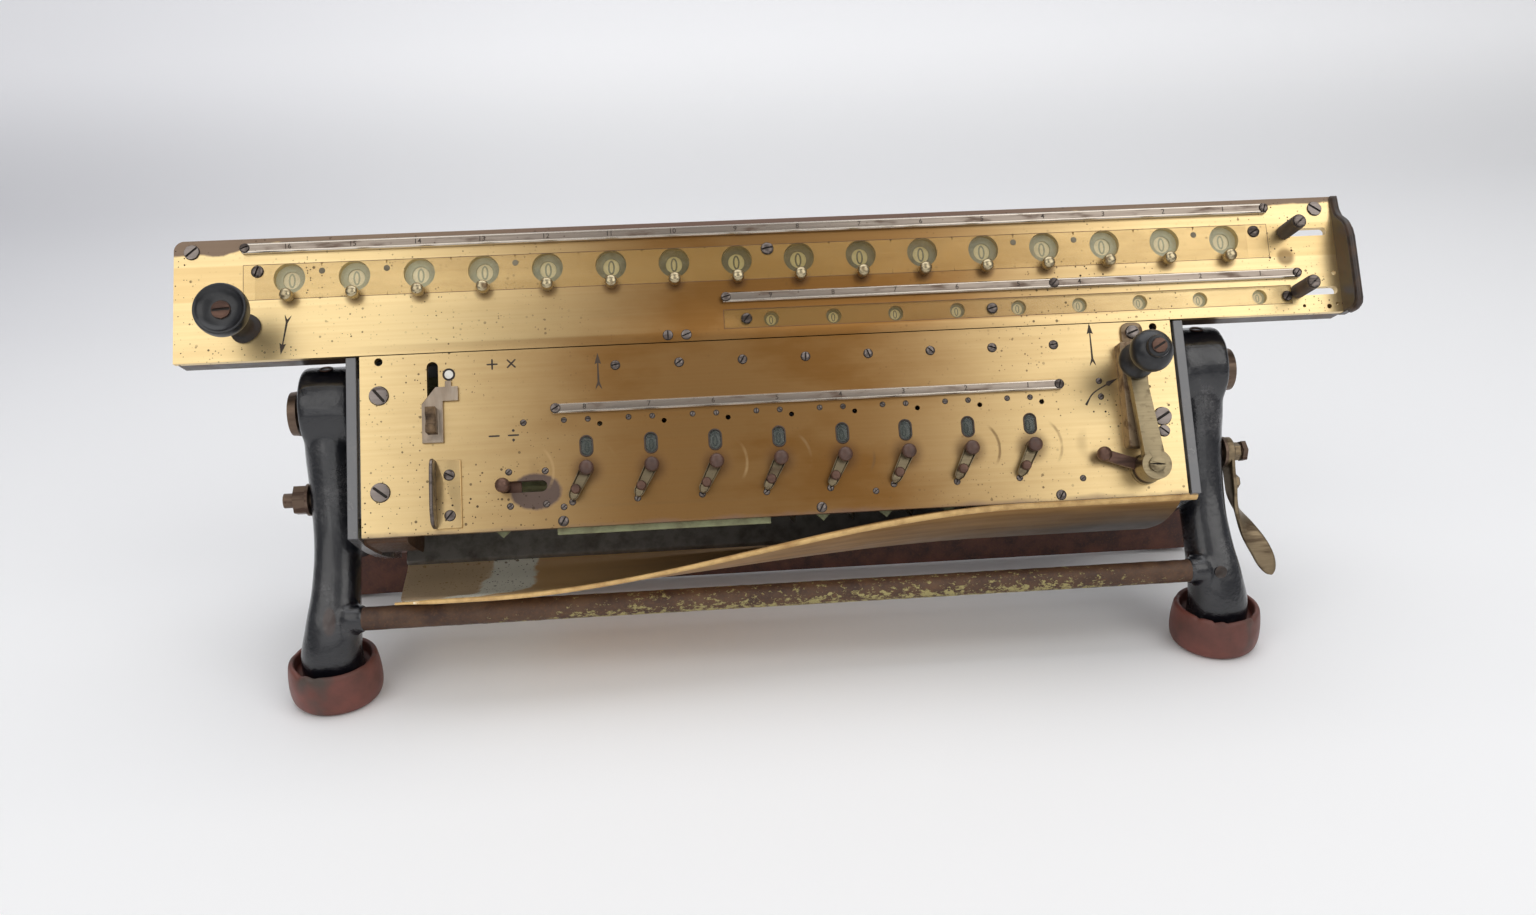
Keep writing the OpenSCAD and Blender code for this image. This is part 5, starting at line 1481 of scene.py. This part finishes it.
# %% [markdown]
# ## Masks of the windows
# Under each result window lies a thin green disc with an oval hole, which frames one figure and
# hides its neighbours. The counter's windows are small, so a plain green disc backs each nought.


# %% Masks of the windows
def mask(outer, a, b, low):
    """Thin green disc with an oval hole that frames one figure."""
    return hoop((outer, outer), (a, b), low, low + 0.12, 48)


masks = [put(mask(6.35, 3.4, 3.6, -3.2), (dial_u(j), 0, 0)) for j in range(16)]
counter_back = turned([(0, -3.4), (3.4, -3.4), (3.4, -3.2), (0, -3.2)], segments=32)
masks += [put(counter_back, (k * PITCH, COUNT_V, 0)) for k in range(9)]
piece("window_masks", together(*masks), window_green, "carriage", "dial_paint")

# %% [markdown]
# ## Clear strips and their bed
# Two clear strips lie flush in the carriage plate. The upper one is notched round each twirl
# knob. Under it the brass goes on as a bed with a round hole for each window. The seams round the
# strips gather dirt, so a thin brown line runs along every side.


# %% Clear strips and their bed
def notched(left, right, low, high, places, radius, centre_v):
    """Rectangle whose lower edge has a round notch at each place along u."""
    dip = math.degrees(math.asin((centre_v - low) / radius))
    t = np.radians(np.linspace(180 + dip, -dip, 14))
    arc = np.column_stack([radius * np.cos(t), centre_v + radius * np.sin(t)])
    rows = [[(left, high), (left, low)]] + [arc + [u, 0] for u in places] + [[(right, low), (right, high)]]
    return np.vstack(rows)


BED_LOW, BED_HIGH = -0.79, -0.03


def bed_tile(half, low, high, radius, count=48):
    """Rectangle with a round hole: each point of the circle is paired with the rectangle's edge behind it."""
    a = np.linspace(0, 2 * np.pi, count, endpoint=False) + np.pi / count
    x, y = np.cos(a), np.sin(a)
    reach = 1 / np.maximum(np.abs(x) / half, np.where(y > 0, y / high, -y / -low))
    rows = [np.column_stack([k * x, k * y, np.full(count, w)]) for k, w in
            ((reach, BED_LOW), (reach, BED_HIGH), (radius, BED_HIGH), (radius, BED_LOW))]
    return np.stack(rows, 1).reshape(-1, 3), [grid_faces(count, 4, True, True)]


bed = [put(bed_tile(PITCH / 2, -8.42, 6.02, 6.2), (dial_u(j), 0, 0)) for j in range(16)]
bed_end = [(ROW_LEFT - 13.4, 6.02), (ROW_LEFT - 13.4, -8.42), (ROW_LEFT - PITCH / 2, -8.42),
           (ROW_LEFT - PITCH / 2, 6.02)]
bed.append(slab(np.array(bed_end), BED_LOW, BED_HIGH, 0.01))
piece("window_bed", together(*bed), face_brass, "carriage", "face_brass", smooth=20)
STRIPS = ((ROW_LEFT - 17.9, ROW_RIGHT + 18.7, -8.4, 6.0), (-19.2, COUNT_RIGHT + 13.2, -28.5, -20.7))
strip_one = notched(*STRIPS[0], [dial_u(j) for j in range(16)], 2.05, -8.0)
left, right, low, high = STRIPS[1]
strip_two = np.array([(left, high), (left, low), (right, low), (right, high)])
piece("clear_strips", together(slab(strip_one, -0.02, 0.04, 0.02), slab(strip_two, -0.72, 0.03, 0.05)),
      clear_strip, "carriage", "clear_strip", "window_strips", smooth=20)


def hair(left, right, low, high):
    """Thin line of dirt that fills a narrow rectangle on the face."""
    return slab(np.array([(left, low), (right, low), (right, high), (left, high)]), -0.03, 0.05, 0.02)


hairs = []
for left, right, low, high in STRIPS:
    hairs += [hair(left, right, v - 0.1, v + 0.1) for v in (low, high)]
    hairs += [hair(u - 0.1, u + 0.1, low, high) for u in (left, right)]
piece("strip_seams", together(*hairs), browned, "carriage", "dull_steel", smooth=20)

# %% [markdown]
# ## Setting cranks
# A number is set by eight little cranks. Each is a nickel channel pressed from sheet, riveted on
# a brown domed stud, with a brown finger knob near its bent tip. The channel is a loft of U
# sections: its raised edges follow the plan, and its tip dips towards the face.


# %% Channel arm
def channel(length=13.4, count=26, around=22):
    """U section along s from 0 to 1: half width falls from 2.6 to 1.5, the edges stand 0.9 higher."""
    s = np.linspace(0, 1, count)[:, None]
    half = 2.6 - 0.7 * s - 0.9 * np.clip((s - 0.86) / 0.14, 0, 1) ** 2
    t = np.linspace(-1, 1, around)[None]
    edge = 0.9 * np.clip((np.abs(t) - 0.72) / 0.16, 0, 1)
    dip = 1.5 * np.clip((s - 0.78) / 0.22, 0, 1) ** 2
    top = 3.1 + edge - dip
    low = np.minimum(2.5 - dip + 0 * t, top - 0.4)
    x, y = length * s + 0 * t, half * t
    ring = np.concatenate([np.stack([x, y, top], -1), np.stack([x, y, low], -1)[:, ::-1]], 1)
    return loft(ring)


print("a channel arm has", len(channel()[0]), "points")

# %% [markdown]
# ## Eight settings
# One arm, stud, finger and disc are made once and put in all eight columns. At rest an arm points
# down and a little left. Its disc lies under the plate, and shows a grey nought in the window.

# %% Eight settings
SET_V, SET_REST = -82.7, 242.0
setting_green = painted("dark dial green", srgb(78, 86, 76), srgb(60, 66, 58), 0.4)
setting_cream = painted("grey figures", srgb(176, 180, 166), srgb(140, 144, 128), 0.5)
stud_brown = painted("bare browned stud", srgb(84, 57, 45), srgb(60, 42, 34), 0.42)
stud = turned([(0, 0.3), (2.6, 0.3), (2.6, 4.3), (2.85, 4.6), (2.95, 5.3), (2.75, 6.1),
               (2.1, 6.7), (1.1, 7.0), (0, 7.05)], segments=40)
finger = turned([(0, 3.0), (1.5, 3.0), (1.6, 3.9), (1.85, 4.5), (2.0, 5.4), (1.9, 6.2), (1.5, 6.7), (0, 6.9)],
                segments=32)
tip = turned([(0, 0.3), (1.1, 0.3), (1.15, 1.8), (0, 1.9)], segments=20)
pin = turned([(0, -14), (2.0, -14), (2.0, 0.5), (0, 0.5)], segments=28)
set_arm = together(put(channel(), (0, 0, 0), SET_REST), put(put(tip, (12.3, 0, 0)), turn=SET_REST),
                   pin, spokes(5, 3.2, 8, -13, -10, 1.4))
set_finger = put(put(finger, (9.4, 0, 0)), turn=SET_REST)
set_disc = turned([(0, -4.7), (12.0, -4.7), (12.2, -4.5), (12.2, -3.8), (12.0, -3.6), (0, -3.6)], segments=64)
set_figures = dial_figures(9.3, 30, 5.0, -3.59)
for i in range(8):
    body, at = f"setting_body_{i + 1}", (drum_u(i), SET_V, 0)
    piece(f"setting_arm_{i + 1}", put(set_arm, at), arm_nickel, body, "nickel", f"setting_{i + 1}", smooth=50)
    piece(f"setting_stud_{i + 1}", put(stud, at), stud_brown, body, "dull_steel", f"setting_{i + 1}")
    piece(f"setting_finger_{i + 1}", put(set_finger, at), browned, body, "dull_steel", f"setting_{i + 1}")
    piece(f"setting_disc_{i + 1}", put(set_disc, at), setting_green, body, "dial_paint", f"setting_{i + 1}")
    piece(f"setting_figures_{i + 1}", put(set_figures, at), setting_cream, body, "dial_paint", smooth=20)

# %% [markdown]
# ## Rims of the setting windows
# Each setting has a small upright window with round ends, a raised bronze rim and dark glass. The
# rim is a bead carried round the slot's outline: a circle cut in halves that stand apart.


# %% Rims and glass of the setting windows
def rim(v):
    """Raised rim round a window with round ends: a small bead carried round the slot's outline."""
    a = np.linspace(0, 2 * np.pi, 40, endpoint=False)
    middle = np.stack([2.45 * np.cos(a), 2.45 * np.sin(a) + 1.65 * np.sign(np.sin(a)), 0 * a], 1)
    way = np.stack([np.cos(a), np.sin(a), 0 * a], 1)
    b = np.linspace(0, 2 * np.pi, 8, endpoint=False)[None, :, None]
    ring = middle[:, None] + 0.32 * np.cos(b) * way[:, None] + np.array([0, 0, 0.3]) * np.sin(b)
    return ring.reshape(-1, 3) + [0, v, 0.02], [grid_faces(40, 8, True, True)]


WINDOW_V = -73.4
piece("setting_window_rims", together(*(put(rim(WINDOW_V), (drum_u(i), 0, 0)) for i in range(8))),
      dark_bronze, "case", "nickel")
glass_line = [(2.3 * math.cos(a), 2.3 * math.sin(a) + 1.65 * np.sign(round(math.sin(a), 6)))
              for a in np.linspace(0, 2 * np.pi, 36, endpoint=False)]
glass = slab(np.array(glass_line), -0.9, -0.1, 0.35)
piece("setting_window_glass", together(*(put(glass, (drum_u(i), WINDOW_V, 0)) for i in range(8))),
      window_glass, "case", "clear_strip", smooth=60)

# %% [markdown]
# ## Lift knob
# The two large knobs are turned from hard black rubber and polished. Their profiles run through
# a few measured radii as a smooth curve, so every highlight bends the way it does on the lathe.
# This one stands on a dark stem whose foot spreads in a wavy round, and a slotted screw lies sunk in its
# hollow top.

# %% Lift knob of the carriage
LIFT_U, LIFT_V = ROW_LEFT - 17.2, -19.5
lift_profile = flowing([(3.4, 17.2), (4.2, 19.4), (6.4, 20.9), (9.0, 22.0), (10.4, 23.6), (10.8, 25.4),
                        (10.75, 27.4), (10.45, 28.7), (9.95, 29.0), (9.45, 28.75), (8.6, 28.0),
                        (7.0, 27.15), (5.0, 26.65), (3.6, 26.5)], 70)
lift_profile = np.vstack([(0, 17.2), lift_profile * [0.94, 1], (0, 26.5)])
piece("lift_knob", put(turned(lift_profile, segments=80), (LIFT_U, LIFT_V, 0)), hard_rubber, "carriage",
      "ebonite", "carriage_fittings")
stem = turned([(0, 0), (6.0, 0), (6.15, 0.7), (5.6, 1.4), (4.3, 1.9), (3.6, 3), (3.4, 5), (3.3, 12),
               (3.5, 18), (0, 18)])
wobble = 1 + 0.05 * np.sin(3 * np.arctan2(stem[0][:, 1], stem[0][:, 0]) + 1) * (stem[0][:, 2] < 1.6)
stem = (stem[0] * np.column_stack([wobble, wobble, np.ones(len(wobble))]), stem[1])
piece("lift_stem", put(stem, (LIFT_U, LIFT_V, 0)), dirt, "carriage", "dull_steel")
fasten("lift_knob_screw", [(LIFT_U, LIFT_V, 26.5, 3.5, 1.1, 0.3, 4)], browned, "carriage")

# %% [markdown]
# ## Crank knob
# The crank's grip is a foot, a slender neck and a ball. It spins on a pin, so its profile closes
# round a bore. A cap with a slotted screw ends the pin above it and stays with the arm.

# %% Crank knob
ARM_TOP, THROW, CRANK_REST = 13.8, 41.7, 95.9
KNOB_AT = (CRANK_U + THROW * math.cos(math.radians(CRANK_REST)),
           CRANK_V + THROW * math.sin(math.radians(CRANK_REST)), ARM_TOP + 0.3)
ball = [(8.3 * math.cos(a), 18 + 6.7 * math.sin(a)) for a in np.radians(np.arange(-42, 74, 10))]
knob_profile = flowing([(5.8, 0.05), (7.0, 0.5), (7.3, 1.4), (7.0, 2.6), (5.7, 4.8), (4.6, 7.4), (4.5, 9.6),
                        (5.0, 11.8)] + ball + [(2.2, 24.55)], 90)
knob_profile = np.vstack([(2.06, 0.05), knob_profile, (2.06, 24.5)])
knob_points = turned(knob_profile, KNOB_AT, segments=64)[0]
knob_shape = (knob_points, [grid_faces(len(knob_profile), 64, True, True)])
piece("crank_grip_knob", knob_shape, hard_rubber, "crank_grip", "ebonite", "crank_knob")
cap = turned([(0, 38.8), (2.2, 38.75), (4.35, 38.0), (4.4, 39.9), (4.1, 40.5), (3.6, 40.72), (0, 40.75)],
             segments=40)
piece("crank_grip_cap", put(cap, (KNOB_AT[0], KNOB_AT[1], 0)), hard_rubber, "crank_arm", "ebonite")
fasten("crank_grip_screw", [(KNOB_AT[0], KNOB_AT[1], 40.75, 2.9, 0.9, 0.3, 30)], browned, "crank_arm")
fasten("crank_hub_screw", [(CRANK_U, CRANK_V, 13.9, 3.2, 1.4, 0.2, -12)], nickel, "crank_arm")

# %% [markdown]
# ## Clearing posts
# Two posts clear the dials when they are pulled along their slots. They are turned with rings for
# the fingers, and a slotted screw ends each one.

# %% Posts of the clearing slides
post = [(0, 0.3), (2.6, 0.3)]
for ring_w in np.arange(1.2, 13.4, 1.0):
    post += [(2.75, ring_w - 0.35), (3.02, ring_w), (2.75, ring_w + 0.35)]
post += [(2.9, 13.9), (2.85, 14.6), (2.5, 14.9), (0, 14.9)]
for side, u, v in (("upper", COUNT_RIGHT + 13, 1.9), ("lower", COUNT_RIGHT + 15.8, -23.6)):
    piece("post_sleeve_" + side, put(turned(post, segments=36), (u, v, 0)), dark_bronze, "pin_" + side,
          "dark_bronze")
    fasten("post_screw_" + side, [(u, v, 14.8, 2.5, 0.9, 0.25, 40)], dark_screw, "pin_" + side)

# %% [markdown]
# ## Bracket
# A brass bracket with a dark upright fin stands at the left end of the face, below the reversing
# slot. Its base is cut from plate and held by two screws.

# %% Bracket at the left, with its fin
bracket_base = slab(rounded([(REVERSE_U + 0.6, -103.3), (REVERSE_U + 10.3, -103.3), (REVERSE_U + 10.3, -76.3),
                             (REVERSE_U + 0.6, -76.3)], 0.6), 0, 1.1, 0.25)
piece("bracket_base", bracket_base, face_brass, "case", "face_brass", "face_fittings")
fin = rounded([(-103.3, 0), (-76.3, 0), (-76.3, 6.5), (-78.5, 8.2), (-84, 9), (-97, 9), (-101.5, 7.5),
               (-103.3, 4)], 1.5)
piece("bracket_fin", along(fin, REVERSE_U - 0.6, REVERSE_U + 0.8, 0.3), dark_screw, "case", "dull_steel",
      "face_fittings")
fasten("bracket_screws", [(REVERSE_U + 5.8, -82.4, 1.1, 2.0, 0.9, 0.25, -30),
                          (REVERSE_U + 5.8, -98.3, 1.1, 2.0, 0.9, 0.25, 50)], dark_screw, "case")

# %% [markdown]
# ## Collar and rest of the crank
# The crank's shaft comes up through a turned collar. Above it a plated block with a screwed lug
# carries the crank at rest, and its plating has gone brown.

# %% Collar and rest of the crank
rest_finish = steel("plated rest gone brown", srgb(144, 124, 98), srgb(100, 78, 58), 0.7, 0.42, 0.75,
                    stretch=1.0)
collar = hoop((6.2, 6.2), (4.06, 4.06), 0, 2.5, 56)
piece("crank_collar", put(collar, (CRANK_U, CRANK_V, 0)), nickel, "case", "nickel", "face_fittings")
rest_block = slab(rounded([(CRANK_U - 7.4, -85.9), (CRANK_U + 3, -85.9), (CRANK_U + 3, -42.9),
                           (CRANK_U - 7.4, -42.9)], 1.2), 0, 6.5, 0.5)
rest_lug = slab(rounded([(CRANK_U - 4.4, -43.6), (CRANK_U + 4.6, -43.6), (CRANK_U + 4.6, -33.8),
                         (CRANK_U - 4.4, -33.8)], 3.6, 9), 0, 1.4, 0.3)
piece("crank_rest", together(rest_block, rest_lug), rest_finish, "case", "dull_steel", "face_fittings")

# %% [markdown]
# ## Guard and corner lug
# A raised guard closes the right end of the carriage. It is thin plate with a rolled outer edge:
# a cover of one outline, and a bead that follows it. A rusty lug sits in the lower left corner of
# the case.


# %% Guard with its rolled edge, and the corner lug
def tube(path, radius, around=14):
    """Bead round a path of (u, v, w) rows at one u: path + radius (cos b ALONG + sin b across)."""
    path = np.asarray(path, float)
    way = np.gradient(path, axis=0)
    way /= np.linalg.norm(way, axis=1, keepdims=True)
    across = np.cross(way, ALONG)
    b = np.linspace(0, 2 * np.pi, around, endpoint=False)[None, :, None]
    return loft(path[:, None] + radius * (np.cos(b) * ALONG + np.sin(b) * across[:, None]))


guard_line = flowing([(-32.6, 3), (-32.5, 7.6), (-31.0, 9.6), (-28.5, 10.4), (-18, 10.5), (-5, 10.4),
                      (-0.8, 9.8), (3, 7.9), (7, 3.4), (11, 1.5), (16, 0.9)], 70)
guard_side = np.vstack([[(-32.85, -2.9)], guard_line, [(16.65, -2.9)]])[::-1]
piece("guard_cover", along(guard_side, 237.6, 240.75, 0.15), dark_bronze, "carriage", "dark_bronze")
roll_path = np.column_stack([np.full(70, 239.3), guard_line - (0.3, 0.1)])
piece("guard_roll", tube(roll_path, 1.45), dark_bronze, "carriage", "dark_bronze", smooth=60)
corner = rounded([(-106.2, -9), (-97, -12), (-98, -42), (-107.4, -40), (-107.2, -26)], 3)
piece("corner_lug", along(corner, -165.1, -148, 0.8), rod_rust, "case", "rusty_rod")

# %% [markdown]
# ## Engraved signs
# Arrows beside the levers tell which way they move. An arrow is one outline: a filled head, a
# thin shaft and a forked tail. Plus and times stand by the upper end of the reversing slot, minus
# and divide by its lower end. Every sign is a shallow slab filled with black.


# %% Arrows and signs
def arrow(tail, head, width=2.6):
    """Arrow outline from tail to head, both (u, v): head 4 long, shaft 0.6 wide, tail forked."""
    tail, head = np.asarray(tail, float), np.asarray(head, float)
    length = np.linalg.norm(head - tail)
    way = (head - tail) / length
    side = np.array([-way[1], way[0]])
    h = width / 2
    rows = np.array([(0, -h), (0.8, -h + 0.1), (3.2, -0.42), (length - 4.2, -0.26), (length - 4.6, -h),
                     (length, 0), (length - 4.6, h), (length - 4.2, 0.26), (3.2, 0.42), (0.8, h - 0.1),
                     (0, h), (1.9, 0)])
    return slab(tail + rows[:, :1] * way + rows[:, 1:] * side, -0.05, 0.04, 0.02)


def curved_arrow(rows, width=2.4):
    """Arrow along a bent line through (u, v) rows: half widths grow at the tail and at the head."""
    line = flowing(rows, 26)
    way = np.gradient(line, axis=0)
    way /= np.linalg.norm(way, axis=1, keepdims=True)
    side = np.column_stack([-way[:, 1], way[:, 0]])
    t = np.linspace(0, 1, 26)[:, None]
    half = np.where(t > 0.72, width / 2 * (1 - t) / 0.28, 0.28) + 0.5 * np.clip(0.2 - t, 0, 1) * width
    outline = np.concatenate([line - half * side, (line + half * side)[-2::-1]])
    return slab(outline, -0.05, 0.04, 0.02)


def stroke(u, v, length, width=0.7, turn=0.0):
    """One engraved line of a sign."""
    return put(slab(oval(length / 2, width / 2, 20, 5), -0.05, 0.04, 0.02), (u, v, 0), turn)


def dot(u, v, radius=0.55):
    """One engraved dot of a sign."""
    return put(slab(oval(radius, radius, 16), -0.05, 0.04, 0.02), (u, v, 0))


print("an arrow has", len(arrow((0, 0), (0, 15))[0]), "points")

# %% [markdown]
# ## Signs in their places
# Two straight arrows and a bent one mark the levers on the face, and one arrow stands on the
# carriage. A white enamelled dot in a dark ring marks the reversing slot.

# %% Signs in their places
UPPER_V, LOWER_V, FIRST_U, SECOND_U = -38.8, -67.7, -112, -104.5
face_signs = [arrow((-70.4, -51), (-70.4, -36)), arrow((129.8, -51), (129.8, -33)),
              curved_arrow([(125.3, -67), (128.5, -62.5), (133.5, -59.5), (139.6, -56.5)])]
face_signs += [stroke(FIRST_U, UPPER_V, 4.4), stroke(FIRST_U, UPPER_V, 4.4, turn=90),
               stroke(SECOND_U, UPPER_V, 4.8, turn=45), stroke(SECOND_U, UPPER_V, 4.8, turn=-45)]
face_signs += [stroke(FIRST_U, LOWER_V, 4.4), stroke(SECOND_U, LOWER_V, 4.4), dot(SECOND_U, -65.8),
               dot(SECOND_U, -69.6)]
piece("face_signs", together(*face_signs), engraving, "case", "dull_steel", smooth=20)
piece("carriage_signs", arrow((-191, -15), (-194, -31)), engraving, "carriage", "dull_steel", smooth=20)
DOT_AT = (-129, -42.1, 0)
white_enamel = painted("white enamel", srgb(228, 226, 220), srgb(200, 196, 184), 0.35)
indicator = turned([(0, -2.2), (1.75, -2.2), (1.75, 0.1), (0, 0.2)], DOT_AT, segments=28)
piece("reversing_indicator", indicator, white_enamel, "case", "dial_paint")
piece("indicator_ring", put(hoop((2.5, 2.5), (1.7, 1.7), -0.1, 0.16), DOT_AT), dirt, "case", "dull_steel")

# %% [markdown]
# ## Finishes of the packed parts
# A packed part whose shape is right stays as it is and only gets its finish.

# %% One finish for each packed part
FINISHES = {
    "stand_castings": cast_enamel, "front_rod": rod_rust, "rear_bar": bar_rust,
    "rubber_feet": foot_rubber, "stand_fixings": dull_steel, "clamp_lever": nickel,
    "face_plate": face_brass, "end_plates": plate_enamel, "back_cover": plate_enamel,
    "belly_cover": belly_brass, "bearing_rails": green_paint, "guide_rod": bright_steel,
    "face_fittings": bar_nickel, "square_shafts": bright_steel, "main_shaft": bright_steel,
    "crank": nickel, "crank_knob": hard_rubber, "stop_lever": browned,
    "reversing_slider": nickel, "clear_lever": browned, "saddle": bright_steel,
    "carriage_plate": face_brass, "carriage_frame": dark_bronze,
    "carriage_fittings": bar_nickel, "window_strips": clear_strip, "counter_dials": dial_grey,
    "clear_pin_upper": dark_bronze, "clear_pin_lower": dark_bronze,
}
FINISHES.update({f"drum_{i}": belly_brass for i in range(1, 9)})
FINISHES.update({f"setting_{i}": nickel for i in range(1, 9)})
FINISHES.update({f"dial_{j}": dial_grey for j in range(1, 17)})


def dress(node, material):
    """Puts a finish on a packed node's own mesh."""
    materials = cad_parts[node].data.materials
    materials.clear()
    materials.append(material)


for node_name, node_finish in FINISHES.items():
    dress(node_name, node_finish)
print("dressed:", len(FINISHES), "left over:", sorted(set(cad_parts) - set(FINISHES)))

# %% [markdown] ## The end
